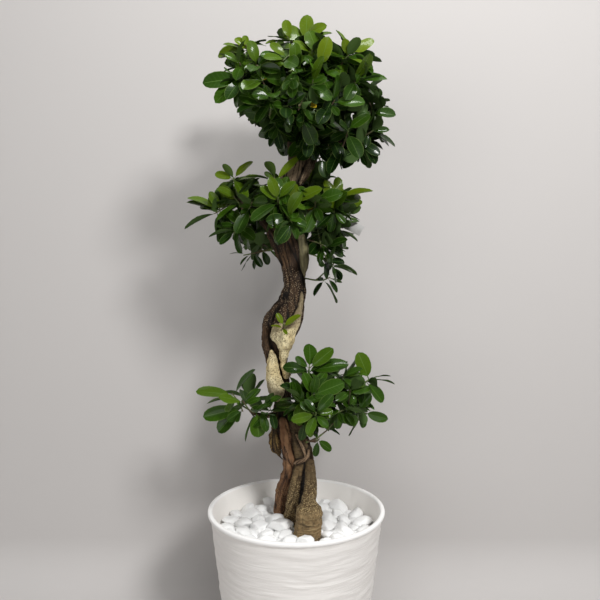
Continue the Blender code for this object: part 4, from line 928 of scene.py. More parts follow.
@dataclass
class Pebbles:
    """Tumbled white stones heaped on the soil, each a copy of one of a few patterns.

    Two large stones lie in front of the stems: near holds their middle, size and thickness.
    """

    patterns: int = 9
    flats: int = 7
    lower: int = 104
    upper: int = 52
    size: tuple[float, float] = (0.023, 0.037)
    inner_wall: float = 0.1345
    bed: float = 0.2350
    rise: float = 0.0080
    near: tuple[tuple[float, float, float, float, float], ...] = (
        (-0.0290, -0.0080, 0.2500, 0.0420, 0.50), (0.0130, -0.0710, 0.2500, 0.0280, 0.66))
    mean_thickness: float = 0.7
    lower_room: float = 0.80
    upper_room: float = 1.05
    rounds: int = 140
    push: float = 0.35
    tilt: float = 0.5
    dip: float = 0.0025
    seed: int = 11

    def stone(self, dice: random.Random) -> bpy.types.Object:
        """One stone of unit size: a ball cut by a few flats and tumbled round again.

        Args:
            dice: Where chance comes from.

        Returns:
            The stone.
        """
        bpy.ops.mesh.primitive_ico_sphere_add(subdivisions=2, radius=0.5, location=ORIGIN)
        item = bpy.context.object
        with Bench.editing(item):
            for _ in range(self.flats):
                way = Vector((dice.uniform(-1, 1), dice.uniform(-1, 1), dice.uniform(-1, 1))).normalized()
                bpy.ops.mesh.select_all(action="SELECT")
                bpy.ops.mesh.bisect(plane_co=way * dice.uniform(0.27, 0.42), plane_no=way,
                                    use_fill=True, clear_outer=True)
            Bench.merge(0.065)
            bpy.ops.transform.resize(value=(1.25, dice.uniform(0.86, 1.05), dice.uniform(0.62, 0.86)))
        Bench.modify(item, "BEVEL", width=0.035, segments=1, limit_method="ANGLE", angle_limit=math.radians(28))
        Bench.modify(item, "SUBSURF", levels=1, render_levels=1)
        return item

    def feet(self) -> list[tuple[float, float, float]]:
        """The feet of the stems where the stones lie.

        Returns:
            Middle and radius of each.
        """
        found = []
        for name in ("stem_left", "stem_centre", "stem_right"):
            points = [v.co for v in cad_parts[name].data.vertices if abs(v.co.z - self.bed) < 0.016]
            low, high = box_of(points)
            x, y = (low.x + high.x) / 2, (low.y + high.y) / 2
            found.append((x, y, sum(math.hypot(p.x - x, p.y - y) for p in points) / len(points)))
        return found

    def clear_near(self, stone: Stone, room: float) -> None:
        """Move a stone of the upper layer off the two large ones.

        Args:
            stone: The stone.
            room: How close stones may come, as a share of their mean size.
        """
        for x, y, _, size, _ in self.near:
            away, want = stone.away(x, y), 0.40 * room * (size + stone.size)
            if away.length < want:
                stone.x, stone.y = x + away.normalized().x * want, y + away.normalized().y * want

    def part(self, one: Stone, two: Stone, room: float) -> None:
        """Push two stones apart where they come too close.

        Args:
            one: The first.
            two: The second.
            room: How close they may come, as a share of their mean size.
        """
        gap, want = two.away(one.x, one.y), room * (one.size + two.size) / 2
        if 1e-6 < gap.length < want:
            push = gap.normalized() * (want - gap.length) * self.push
            one.x, one.y, two.x, two.y = one.x - push.x, one.y - push.y, two.x + push.x, two.y + push.y

    def keep_in(self, stone: Stone, feet: list[tuple[float, float, float]]) -> None:
        """Keep a stone off the stems' feet and inside the wall.

        Args:
            stone: The stone.
            feet: Middle and radius of each foot.
        """
        for x, y, radius in feet:
            away = stone.away(x, y)
            if away.length < radius + 0.42 * stone.size:
                away = away.normalized() * (radius + 0.42 * stone.size)
                stone.x, stone.y = x + away.x, y + away.y
        reach, limit = math.hypot(stone.x, stone.y), self.inner_wall - 0.50 * stone.size
        if reach > limit:
            stone.x, stone.y = stone.x * limit / reach, stone.y * limit / reach

    def spread(self, count: int, room: float, dice: random.Random) -> list[Stone]:
        """Stones that lie beside each other between the stems and the wall.

        Args:
            count: How many stones.
            room: How close they may come, as a share of their mean size.
            dice: Where chance comes from.

        Returns:
            The stones.
        """
        feet, stones = self.feet(), []
        for _ in range(count):
            radius, turn = self.inner_wall * math.sqrt(dice.uniform(0.03, 0.98)), dice.uniform(0, math.tau)
            stones.append(Stone(radius * math.cos(turn), radius * math.sin(turn), dice.uniform(*self.size)))
        for _ in range(self.rounds):
            for i, one in enumerate(stones):
                if room > 1.0:
                    self.clear_near(one, room)
                for two in stones[i + 1:]:
                    self.part(one, two, room)
                self.keep_in(one, feet)
        return stones

    def layer(self, stones: list[Stone], height: float, kinds: list[bpy.types.Object],
              dice: random.Random) -> list[bpy.types.Object]:
        """Lay one layer of stones.

        Args:
            stones: Their places and sizes.
            height: The layer's height.
            kinds: The patterns.
            dice: Where chance comes from.

        Returns:
            The stones.
        """
        laid = []
        for stone in stones:
            kind = dice.choice(kinds)
            turn = Euler((dice.uniform(-self.tilt, self.tilt), dice.uniform(-self.tilt, self.tilt),
                          dice.uniform(0, math.tau)))
            drop = self.dip * noise.noise(Vector((stone.x * 60, stone.y * 60, 3.0)))
            place = Matrix.LocRotScale(Vector((stone.x, stone.y, height + drop)), turn, Vector([stone.size] * 3))
            laid.append(Bench.copied(kind, "pebble", place))
        return laid

    def build(self, marble: WhiteStone) -> None:
        """Make the patterns, lay two layers of stones and join them.

        Args:
            marble: Their finish.
        """
        dice = random.Random(self.seed)
        kinds = [self.stone(dice) for _ in range(self.patterns)]
        under = self.spread(self.lower, self.lower_room, dice)
        over = self.spread(self.upper, self.upper_room, dice)
        laid = self.layer(under, self.bed, kinds, dice) + self.layer(over, self.bed + self.rise, kinds, dice)
        for x, y, z, size, thick in self.near:
            flat = Vector((size, size, size * thick / self.mean_thickness))
            laid.append(Bench.copied(
                kinds[0], "pebble", Matrix.LocRotScale(Vector((x, y, z)), Euler((0.0, 0.05, 0.1)), flat)))
        for kind in kinds:
            bpy.data.objects.remove(kind)
        Bench.join(*laid)
        laid[0].name = "white_pebbles"
        Bench.smooth(laid[0])
        Bench.settle(laid[0], marble.material(), "white_pebbles", "pebble_bed")


# ---- Stems and limbs ----

@dataclass(frozen=True)
class Relief:
    """How the bark of a stem is shaped: depths in metres, strands by how closely they stand."""

    strand_depth: float
    strands: float = 2.2
    strand_shade: float = 1.0
    twist: float = 0.0
    wrinkles: float = 190.0
    wrinkle_depth: float = 0.0
    wrinkle_top: float = 9.0
    lump: float = 70.0
    lump_depth: float = 0.0006
    speckle_low: float = -9.0
    speckle_top: float = 9.0
    speckle: float = 0.5
    shade_low: float = 9.0
    shade_top: float = 10.0
    pale_low: float = 9.0
    pale_top: float = 9.0

    def rise(self, point: Vector, angle: float) -> tuple[float, float]:
        """How far the bark stands out at a point, and how dark its crease is, partly dark bark and partly painted
        shade.

        Args:
            point: The point on the plain stem.
            angle: Its bearing round the stem's own axis.

        Returns:
            The rise in metres, and the crease's darkness from 0 to 1.
        """
        turn = angle + math.tau * self.twist * point.z
        round_it = Vector((math.cos(turn), math.sin(turn), 0.0)) * self.strands
        wave = noise.noise(round_it + Vector((3.0, 7.0, point.z * 11.0)))
        fibre = noise.noise(round_it * 3.4 + Vector((1.0, 2.0, point.z * 18.0)))
        ridge = min(abs(wave) * 3.2, 1.0)
        rise = self.strand_depth * (ridge - 0.7 + 0.35 * min(abs(fibre) * 3.0, 1.0))
        crease_shade = max(1.0 - ridge * 1.9, 0.45 * (1.0 - min(abs(fibre) * 5.0, 1.0)), 0.0) * self.strand_shade
        if self.wrinkle_depth:
            fade = clamp((self.wrinkle_top - point.z) / 0.03)
            ring = noise.noise(Vector((math.cos(angle) * 0.9, math.sin(angle) * 0.9, point.z * self.wrinkles)))
            rise += fade * self.wrinkle_depth * ring
            crease_shade = max(crease_shade, 0.55 * fade * clamp(-ring * 2.0 - 0.15))
        return rise + self.lump_depth * noise.fractal(point * self.lump, 0.9, 2.1, 3), crease_shade

    def freckled(self, point: Vector) -> float:
        """How thickly freckles stand at a point.

        Args:
            point: The point on the plain stem.

        Returns:
            The share of freckles, from 0 to 1.
        """
        inside = min(point.z - self.speckle_low, self.speckle_top - point.z) / 0.012 + 0.5
        patch = noise.noise(point * 55.0) * 0.9
        return clamp(self.speckle * clamp(inside) + patch * 0.55)

    def shaded(self, point: Vector) -> float:
        """How far the bark is darker at a point, mostly painted shade where a stem runs under the foliage, and how
        far it is paler in a band.

        Args:
            point: The point on the plain stem.

        Returns:
            From 0 to 1 where it is darker, or down to -1 where it is paler.
        """
        share = (point.z - self.shade_low) / (self.shade_top - self.shade_low) + 0.25 * noise.noise(point * 40.0)
        pale = min(point.z - self.pale_low, self.pale_top - point.z) / 0.014
        return clamp(share) - clamp(pale)


class Skin(Enum):
    """The barks of the plant, each with its slot and its own colours."""

    REDDISH = Bark("reddish_brown_bark", "reddish_bark", (0.175, 0.082, 0.038), (0.030, 0.015, 0.009),
                   (0.300, 0.165, 0.082), (0.50, 0.33, 0.16), streak_scale=50.0, streak_aspect=0.10,
                   freckle_scale=330.0, freckle_share=0.34, bump=0.0026)
    GOLDEN = Bark("golden_speckled_bark", "golden_bark", (0.225, 0.145, 0.064), (0.040, 0.024, 0.011),
                  (0.330, 0.235, 0.115), (0.80, 0.60, 0.30), streak_scale=70.0, streak_aspect=0.35,
                  freckle_scale=370.0, freckle_share=0.46, bump=0.0032, rings=1.0)
    RIDGED = Bark("ridged_burl_bark", "golden_bark", (0.110, 0.064, 0.024), (0.009, 0.006, 0.0035),
                  (0.420, 0.270, 0.085), (0.70, 0.50, 0.20), streak_scale=115.0, freckle_scale=300.0,
                  fibre_shade=0.7, bump=0.0040)
    DARK = Bark("dark_fibrous_bark", "dark_bark", (0.038, 0.0200, 0.0100), (0.006, 0.0035, 0.0022),
                (0.118, 0.067, 0.033), (0.46, 0.34, 0.21), streak_scale=75.0, freckle_scale=360.0,
                freckle_share=0.38, bump=0.0034)
    WEATHERED = Bark("pale_neck_bark", "dark_bark", (0.210, 0.140, 0.082), (0.012, 0.008, 0.005),
                     (0.500, 0.370, 0.235), (0.46, 0.34, 0.21), streak_scale=75.0, freckle_share=0.20,
                     bump=0.0034)
    CREAM = Bark("pale_cream_bark", "cream_bark", (0.72, 0.59, 0.32), (0.175, 0.130, 0.072), (0.90, 0.80, 0.50),
                 (0.13, 0.065, 0.026), streak_scale=40.0, streak_aspect=0.6, freckle_scale=340.0,
                 freckle_share=0.42, fibre_shade=0.25, ground_shade=0.0, roughness=0.62, bump=0.0026)
    OLIVE = Bark("smooth_olive_bark", "olive_bark", (0.125, 0.108, 0.050), (0.035, 0.028, 0.016),
                 (0.190, 0.168, 0.085), (0.22, 0.18, 0.11), streak_scale=35.0, streak_aspect=0.20,
                 freckle_share=0.22, roughness=0.6)
    ROOT = Bark("pale_root_bark", "cream_bark", (0.240, 0.155, 0.088), (0.080, 0.048, 0.028),
                (0.360, 0.250, 0.150), (0.50, 0.38, 0.24), streak_scale=60.0, streak_aspect=0.3, freckle_share=0.22)


class Surface(Enum):
    """How the barks of the plant are shaped."""

    # Most shade bands are painted shade. They darken the centre and right stems, the burl and the neck where these
    # run up under the foliage, and the pale lower stem towards its lower end, there partly painted shade under the
    # leaves. The knotty band darkens the spur above the knot, and the main trunk's pale band makes it paler.
    SMOOTH = Relief(strand_depth=0.0006, strand_shade=0.5, lump_depth=0.0012, speckle=0.20)
    SEAMED = Relief(strand_depth=0.0018, strands=1.9, strand_shade=0.9, twist=0.8, lump=85.0, lump_depth=0.0022,
                    speckle_top=0.300, speckle=0.60)
    FADING = Relief(strand_depth=0.0004, strands=1.8, strand_shade=0.25, lump=85.0, lump_depth=0.0018,
                    speckle=0.75, shade_low=0.505, shade_top=0.470)
    FIBROUS = Relief(strand_depth=0.0026, strands=1.9, twist=1.3, lump=55.0, lump_depth=0.0026,
                     speckle_low=0.585, speckle_top=0.685, speckle=0.85, pale_low=0.812, pale_top=0.868)
    SPECKLED = Relief(strand_depth=0.0012, strands=1.8, strand_shade=0.7, wrinkle_depth=0.0008, wrinkles=200.0,
                      lump=120.0, lump_depth=0.0016, speckle_top=0.322, speckle=0.90, shade_low=0.30, shade_top=0.42)
    RINGED = Relief(strand_depth=0.0006, strands=2.6, strand_shade=0.45, wrinkle_depth=0.0011, wrinkles=170.0,
                    wrinkle_top=0.50, lump=110.0, lump_depth=0.0008, speckle_low=0.284, speckle_top=0.330,
                    speckle=1.0, shade_low=0.29, shade_top=0.37)
    GNARLED = Relief(strand_depth=0.0020, strands=2.4, lump=110.0, lump_depth=0.0020,
                     speckle=0.30, shade_low=0.400, shade_top=0.430)
    WEATHERED = Relief(strand_depth=0.0026, strands=1.9, twist=1.3, lump=55.0, lump_depth=0.0026, speckle=0.2,
                       shade_low=0.857, shade_top=0.874)
    KNOTTY = Relief(strand_depth=0.0006, strands=1.8, strand_shade=0.35, wrinkles=110.0, wrinkle_depth=0.0008,
                    lump=85.0, lump_depth=0.0018, speckle=0.75, shade_low=0.580, shade_top=0.604)
    THIN = Relief(strand_depth=0.0006, speckle=0.3)


@dataclass(frozen=True)
class Swell:
    """A place along a stem where it is thicker, or thinner where the rise is negative."""

    z: float
    half: float
    rise: float

    def at(self, z: float) -> float:
        """The rise at a height, with soft shoulders."""
        share = min(max(1.0 - abs(z - self.z) / self.half, 0.0) * 1.8, 1.0)
        return self.rise * share * share * (3 - 2 * share)


@dataclass(frozen=True)
class Neighbour:
    """The surface of another stem and the box round it."""

    tree: BVHTree
    low: Vector
    high: Vector

    @classmethod
    def of(cls, item: bpy.types.Object) -> "Neighbour":
        """The surface and the box of a stem's plain solid."""
        points = [v.co for v in item.data.vertices]
        return cls(BVHTree.FromPolygons(points, [tuple(f.vertices) for f in item.data.polygons]), *box_of(points))

    def crowding(self, point: Vector, room: float) -> float:
        """How close a point lies to this stem.

        Args:
            point: The point.
            room: The distance from which it counts as close.

        Returns:
            From 0 to 1, which is on this stem or inside it.
        """
        if not all(self.low[i] - room < point[i] < self.high[i] + room for i in range(3)):
            return 0.0
        found, normal, _, distance = self.tree.find_nearest(point, 4 * room)
        if found is None:
            return 0.0
        return 1.0 - distance / room if (point - found).dot(normal) > 0 else 1.0


@dataclass
class Stem:
    """One stem or limb, whose CAD solid gives its run and whose bark is shaped here.

    A spur is a short side shoot: X, Y, Z and radius of each place on its run. The flank shadow is the range of
    heights where a painted shadow darkens the bark on its flank towards the stem beside it.
    """

    node: str
    skin: Skin
    surface: Surface
    cell: float = 0.0013
    soften: int = 14
    grow: float = 0.0
    swells: tuple[Swell, ...] = ()
    end_taper: float = 0.0
    end_share: float = 0.20
    room: float = 0.0065
    spur: tuple[tuple[float, float, float, float], ...] = ()
    spur_steps: int = 8
    flank_shadow: tuple[float, float] = (9.0, 10.0)
    slice_height: float = 0.006

    def solid(self) -> bpy.types.Object:
        """The stem's plain solid with its spur, remeshed and softened.

        Returns:
            The solid.
        """
        item = Bench.merged_copy(self.node, self.node + "_bark")
        balls = []
        for one, two in zip(self.spur, self.spur[1:]):
            for i in range(self.spur_steps):
                x, y, z, radius = (a + (b - a) * i / self.spur_steps for a, b in zip(one, two))
                bpy.ops.mesh.primitive_ico_sphere_add(subdivisions=2, radius=radius, location=(x, y, z))
                balls.append(bpy.context.object)
        if balls:
            Bench.join(item, *balls)
        Bench.modify(item, "REMESH", mode="VOXEL", voxel_size=self.cell)
        Bench.modify(item, "SMOOTH", factor=0.5, iterations=self.soften)
        return item

    def in_flank_shadow(self, z: float, angle: float) -> float:
        """How far a point is in the painted shadow on the flank that faces the stem beside it.

        Args:
            z: The point's height.
            angle: Its bearing round the stem's own axis.

        Returns:
            From 0 to 1.
        """
        inside = min(z - self.flank_shadow[0], self.flank_shadow[1] - z) / 0.010
        facing = (math.cos(angle) - 0.22) / 0.22 + 0.3 * noise.noise(Vector((z * 90.0, 0.0, 5.0)))
        return min(max(inside, 0.0), max(facing, 0.0), 1.0)

    def axis(self, item: bpy.types.Object) -> dict[int, Vector]:
        """The middle of the stem at each level slice.

        Args:
            item: The stem's plain solid.

        Returns:
            The middle of each slice, by its count from the ground.
        """
        sums: dict[int, list[Vector]] = {}
        for vert in item.data.vertices:
            sums.setdefault(int(vert.co.z / self.slice_height), []).append(vert.co)
        return {level: sum(points, Vector()) / len(points) for level, points in sums.items()}

    def middle(self, middles: dict[int, Vector], z: float) -> Vector:
        """The middle of the stem at a height.

        Args:
            middles: The middle of each slice.
            z: The height.

        Returns:
            The middle, between those of the slices under and over it.
        """
        level = z / self.slice_height - 0.5
        under, over = middles.get(math.floor(level)), middles.get(math.floor(level) + 1)
        return (under or over).lerp(over or under, level - math.floor(level))

    def tapering(self, z: float, low: float, high: float) -> float:
        """How much of the stem's width is left near its rounded ends.

        Args:
            z: The height.
            low: The stem's lower end.
            high: Its upper end.

        Returns:
            The share that is left.
        """
        end = min(min(z - low, high - z) / self.end_taper, 1.0)
        return self.end_share + (1.0 - self.end_share) * math.sqrt(end * (2 - end))

    def build(self, item: bpy.types.Object, material: bpy.types.Material, neighbours: list[Neighbour]) -> None:
        """Shape the stem's bark and dress it.

        Args:
            item: The stem's plain solid.
            material: The finish of its bark.
            neighbours: The other stems.
        """
        middles, relief, mesh = self.axis(item), self.surface.value, item.data
        for name in ("crease_and_contact_shade", "speckle", "shade"):
            mesh.attributes.new(name, "FLOAT", "POINT")
        crease_and_contact_shades, freckles, shades = (mesh.attributes[name].data for name in ("crease_and_contact_shade", "speckle", "shade"))
        normals = [vert.normal.copy() for vert in mesh.vertices]
        low, high = min(v.co.z for v in mesh.vertices), max(v.co.z for v in mesh.vertices)
        for vert, crease_shade, freckle, shade, normal in zip(mesh.vertices, crease_and_contact_shades, freckles, shades, normals):
            middle = self.middle(middles, vert.co.z)
            angle = math.atan2(vert.co.y - middle.y, vert.co.x - middle.x)
            rise, crease_shade.value = relief.rise(vert.co, angle)
            freckle.value, shade.value = relief.freckled(vert.co), relief.shaded(vert.co)
            # Painted shade: the crease darkness is raised by the painted shadow on the flank and by painted shade
            # where the point lies close to another stem.
            crease_shade.value = max(crease_shade.value, self.in_flank_shadow(vert.co.z, angle),
                               *(other.crowding(vert.co, self.room) for other in neighbours))
            rise += self.grow + sum(swell.at(vert.co.z) for swell in self.swells)
            if self.end_taper:
                keep = self.tapering(vert.co.z, low, high)
                vert.co.x = middle.x + (vert.co.x - middle.x) * keep
                vert.co.y = middle.y + (vert.co.y - middle.y) * keep
                rise *= keep
            vert.co += normal * rise
        Bench.smooth(item)
        Bench.settle(item, material, self.skin.value.slot, self.node)


@dataclass
class Trunk:
    """All the stems that fuse into the trunk, and the limbs that carry the tiers."""

    stems: tuple[Stem, ...] = (
        Stem("stem_left", Skin.REDDISH, Surface.SEAMED, grow=0.0016, swells=(Swell(0.330, 0.030, -0.0012),)),
        Stem("stem_centre", Skin.GOLDEN, Surface.SPECKLED, grow=0.0014, room=0.0110, flank_shadow=(0.268, 0.375),
             swells=(Swell(0.325, 0.045, -0.0008),)),
        Stem("stem_right", Skin.GOLDEN, Surface.RINGED, cell=0.0011, soften=6, grow=0.0008,
             swells=(Swell(0.2985, 0.007, -0.0012), Swell(0.2835, 0.009, 0.0018), Swell(0.245, 0.030, -0.0012))),
        Stem("burl_root", Skin.RIDGED, Surface.GNARLED, cell=0.0010, soften=6, grow=-0.0010, end_taper=0.024,
             swells=(Swell(0.398, 0.012, 0.0016), Swell(0.364, 0.011, -0.0034), Swell(0.440, 0.040, -0.0018))),
        Stem("main_trunk", Skin.DARK, Surface.FIBROUS, cell=0.0015, grow=0.0006),
        Stem("wrapping_stem", Skin.DARK, Surface.FIBROUS, grow=0.0006),
        Stem("pale_stem_lower", Skin.CREAM, Surface.FADING, cell=0.0011, soften=10, grow=0.0004, end_taper=0.020,
             swells=(Swell(0.462, 0.012, -0.0030),)),
        Stem("pale_stem_upper", Skin.CREAM, Surface.KNOTTY, cell=0.0011, soften=10, grow=0.0006, spur=(
            (-0.0130, -0.0200, 0.5780, 0.0125), (-0.0010, -0.0175, 0.5960, 0.0085),
            (0.0065, -0.0135, 0.6180, 0.0044), (0.0092, -0.0100, 0.6380, 0.0026),
            (0.0088, -0.0085, 0.6480, 0.0014))),
        Stem("olive_stem", Skin.OLIVE, Surface.SMOOTH, grow=0.0004, end_taper=0.060,
             swells=(Swell(0.650, 0.036, -0.0036), Swell(0.664, 0.024, -0.0022), Swell(0.712, 0.024, 0.0010))),
        Stem("neck_stem", Skin.WEATHERED, Surface.WEATHERED, grow=0.0006),
        Stem("aerial_root", Skin.ROOT, Surface.THIN, cell=0.0008, soften=6, grow=0.0006, spur=(
            (0.0206, -0.0125, 0.3770, 0.0028), (0.0194, -0.0140, 0.3695, 0.0036),
            (0.0146, -0.0150, 0.3650, 0.0038), (0.0073, -0.0150, 0.3615, 0.0034),
            (0.0010, -0.0125, 0.3580, 0.0026), (-0.0045, -0.0085, 0.3555, 0.0014))),
        Stem("limb_middle_left", Skin.DARK, Surface.SEAMED, cell=0.0012, soften=8),
    )
    limbs: tuple[str, ...] = (
        "limb_lower_right", "limb_lower_left", "limb_middle_front", "limb_middle_right", "limb_middle_back",
        "limb_top_left", "limb_top_front", "limb_top_right", "limb_top_low_right", "limb_top_back")

    def build(self) -> None:
        """Build every stem and limb, with painted shade on the bark where two of them touch."""
        materials = {skin: skin.value.material() for skin in Skin}
        stems = [*self.stems, *(Stem(limb, Skin.DARK, Surface.THIN, cell=0.0012, soften=8) for limb in self.limbs)]
        solids = [stem.solid() for stem in stems]
        others = [Neighbour.of(item) for item in solids]
        for i, (stem, item) in enumerate(zip(stems, solids)):
            stem.build(item, materials[stem.skin], others[:i] + others[i + 1:])


# ---- Leaves ----

# How far the tip of a CAD leaf hangs, as a share of its length, and its least breadth.
CAD_NOD = 0.09
CAD_BREADTH = 0.005


@dataclass(frozen=True)
class LeafSeat:
    """Where a leaf grows: its root, the way it points, its upper side and its length."""

    root: Vector
    direction: Vector
    up: Vector
    length: float

    @classmethod
    def reading(cls, tip: bmesh.types.BMVert) -> "LeafReading | None":
        """Read the leaf that ends in a vertex of a CAD branch.

        Args:
            tip: The vertex.

        Returns:
            What is read there, or None if no leaf ends there.
        """
        rings: list[list[bmesh.types.BMVert]] = [[tip]]
        known = {tip}
        for _ in range(3):
            ring = {edge.other_vert(vert) for vert in rings[-1] for edge in vert.link_edges} - known
            if len(ring) != 3:
                return None
            known |= ring
            rings.append(sorted(ring, key=lambda vert: vert.index))
        broad = [vert.co for vert in rings[1]]
        keel = min(broad, key=lambda p: (sum((q for q in broad if q is not p), Vector()) / 2 - p).length)
        edges = [p for p in broad if p is not keel]
        if (edges[0] - edges[1]).length < CAD_BREADTH:
            return None
        up = ((edges[0] + edges[1]) / 2 - keel).normalized()
        root = sum((vert.co for vert in rings[3]), Vector()) / 3
        way = tip.co - root
        length = way.length / math.sqrt(1.0 + CAD_NOD ** 2)
        direction = (way + up * CAD_NOD * length).normalized()
        return cls(root, direction, squared(up, direction), length), known - set(rings[3]), rings[3]

    def at(self, share: float, side: float = 0.0) -> Vector:
        """The place at a share of the leaf's length, a share of it to one side."""
        along = self.root + self.direction * (share * self.length)
        return along + self.direction.cross(self.up) * (side * self.length)

    def placing(self, growth: float, width: float) -> Matrix:
        """The placing of a leaf of unit length.

        Args:
            growth: How much it is grown as a whole.
            width: How much wider it is made.

        Returns:
            The placing.
        """
        turn = Matrix((self.direction.cross(self.up), self.direction, self.up)).transposed().to_4x4()
        length = self.length * growth
        return Matrix.Translation(self.root) @ turn @ Matrix.Diagonal((length * width, length, length, 1.0))


# A leaf's seat, its own vertices and its three foot vertices on a CAD branch.
LeafReading = tuple[LeafSeat, set[bmesh.types.BMVert], list[bmesh.types.BMVert]]


@dataclass(frozen=True)
class LeafPattern:
    """The shape of a leaf of unit length: its arch, its fold and the waves of its margin."""

    arch: float
    fold: float
    wave: float
    twist: float
    breadth: float = 0.225
    petiole: float = 0.13
    petiole_half: float = 0.014
    tip_half: float = 0.012
    opening: float = 0.62
    closing: float = 0.5
    peak: float = 0.463
    droop: float = 0.09
    sway: float = 0.06
    thickness: float = 0.008
    parked: float = 10.0
    rows: tuple[float, ...] = (0.0, 0.13, 0.22, 0.36, 0.52, 0.68, 0.83, 0.94, 1.0)

    def half_width(self, row: float) -> float:
        """Half the leaf's width at a share of its length.

        Args:
            row: The share.

        Returns:
            Half the width, as a share of the length.
        """
        if row <= self.petiole:
            return self.petiole_half
        share = (row - self.petiole) / (1 - self.petiole)
        half = self.breadth * share ** self.opening * max(1 - share, 0.0) ** self.closing / self.peak
        return max(half, self.petiole_half if row < 0.5 else self.tip_half)

    def shape_row(self, item: bpy.types.Object, level: float, row: float) -> None:
        """Narrow one row of the grid, lift it and fold it, and park it beyond the rows still to come.

        Args:
            item: The leaf, in edit mode.
            level: Where the row lies on the grid.
            row: The share of the leaf's length where it belongs.
        """
        Bench.pick(item, lambda v: abs(v.co.y - level) < 0.01)
        half = self.half_width(row)
        lift = self.arch * row * (1 - row) - self.droop * row
        wave = self.wave * math.sin(9.0 * row + 3.0 * self.twist)
        middle = self.sway * self.twist * row * row
        bpy.ops.transform.resize(value=(half, 1.0, 1.0), center_override=(0.0, level, 0.0))
        bpy.ops.transform.translate(value=(middle, row - level + self.parked, lift))
        for side in (-1, 1):
            for share in (0.5, 1.0):
                Bench.pick(item, lambda v: abs(v.co.y - row - self.parked) < 1e-4
                           and abs(v.co.x - middle - side * share * half) < 1e-5)
                rise = half * (self.fold * share ** 1.5 + side * 0.5 * self.twist * row * share)
                bpy.ops.transform.translate(value=(0.0, 0.0, rise + side * wave * share * share * half))

    def build(self, name: str) -> bpy.types.Object:
        """Shape a grid into the leaf, row by row, and give it an underside.

        Args:
            name: The pattern's name.

        Returns:
            The leaf, at the origin, pointing along Y with its upper side along Z.
        """
        last = len(self.rows) - 1
        bpy.ops.mesh.primitive_grid_add(
            x_subdivisions=4, y_subdivisions=last, size=2.0, location=ORIGIN, calc_uvs=True)
        item = bpy.context.object
        item.name = name
        with Bench.editing(item):
            for i, row in enumerate(self.rows):
                self.shape_row(item, -1.0 + 2.0 * i / last, row)
            bpy.ops.mesh.select_all(action="SELECT")
            bpy.ops.transform.translate(value=(0.0, -self.parked, 0.0))
        self.add_underside(item)
        return item

    def add_underside(self, item: bpy.types.Object) -> None:
        """Copy the upper side, turn it over, lower its middle and join the two along the margin.

        Args:
            item: The leaf.
        """
        with Bench.editing(item) as mesh:
            border = {tuple(round(c, 6) for c in v.co) for v in mesh.verts if v.is_boundary}
            bpy.ops.mesh.select_all(action="SELECT")
            bpy.ops.mesh.duplicate()
            bpy.ops.mesh.flip_normals()
            under = [v for v in bmesh.from_edit_mesh(item.data).verts if v.select]
            for vert in under:
                vert.select = tuple(round(c, 6) for c in vert.co) not in border
            bmesh.from_edit_mesh(item.data).select_flush_mode()
            bpy.ops.transform.translate(value=(0.0, 0.0, -self.thickness))
            Bench.merge(0.0001)
        marks = item.data.attributes.new("underside", "FLOAT", "FACE")
        for face, mark in zip(item.data.polygons, marks.data):
            mark.value = float(face.normal.z < 0)
        Bench.smooth(item, 70)


@dataclass(frozen=True)
class Spot:
    """A place on the plant, seen from the front."""

    x: float
    z: float

    def distance(self, seat: LeafSeat) -> float:
        """How far a leaf's middle is from the place, with leaves at the back counted further."""
        middle = seat.at(0.6)
        return math.hypot(middle.x - self.x, middle.z - self.z) + 0.25 * max(middle.y + 0.05, 0.0)


@dataclass(frozen=True)
class Flush(Spot):
    """A place round which the leaves are younger."""

    reach: float
    youth_and_light: float


@dataclass(frozen=True)
class Habit:
    """How a leaf differs from the others: how far it has turned yellow, how large and how wide it has grown."""

    turned: float = 0.0
    growth: float = 1.0
    width: float = 1.0


@dataclass(frozen=True)
class OddLeaf(Habit, Spot):
    """The leaf that is nearest to a place, and its habit. A leaf of no growth is left out."""


@dataclass(frozen=True)
class TierShape:
    """A tier's middle, half its size each way, how much younger its top is, with painted light that makes it lighter,
    and how wide its leaves are.
    """

    middle: Place
    half: Place
    top_youth_and_light: float
    widths: tuple[float, float]


class Tier(Enum):
    """The three tiers of foliage."""

    TOP = TierShape((-0.005, 0.0, 0.965), (0.17, 0.15, 0.13), 0.54, (0.98, 1.22))
    MIDDLE = TierShape((-0.030, 0.0, 0.765), (0.17, 0.14, 0.11), 0.60, (0.88, 1.16))
    LOWER = TierShape((-0.005, 0.0, 0.465), (0.17, 0.14, 0.09), 0.05, (0.84, 1.12))

    @classmethod
    def of(cls, node: str) -> "Tier":
        """The tier that a branch belongs to."""
        return cls[node.split("_")[0].upper()] if "_branch_" in node else cls.LOWER

    def reach(self, point: Vector) -> float:
        """How far out a point is, from 0 in the tier's middle to about 1 at its surface."""
        shape = self.value
        return Vector([(point[i] - shape.middle[i]) / shape.half[i] for i in range(3)]).length


BARE_BRANCHES = frozenset((
    "knot_sprig", "middle_branch_hanging", "middle_branch_low_left", "middle_branch_sprig", "lower_branch_red_twig",
    "lower_branch_far_right", "lower_branch_low_left", "lower_branch_left", "top_branch_hanging"))


class Fullness(Enum):
    """How many older leaves grow along the twigs for each leaf at their ends."""

    BARE = 0.0
    OPEN = 1.8
    FULL = 2.9

    @classmethod
    def of(cls, node: str) -> "Fullness":
        """The fullness of a branch.

        Args:
            node: The CAD branch.

        Returns:
            The fullness.
        """
        if node in BARE_BRANCHES:
            return cls.BARE
        return cls.OPEN if node.startswith("lower") else cls.FULL


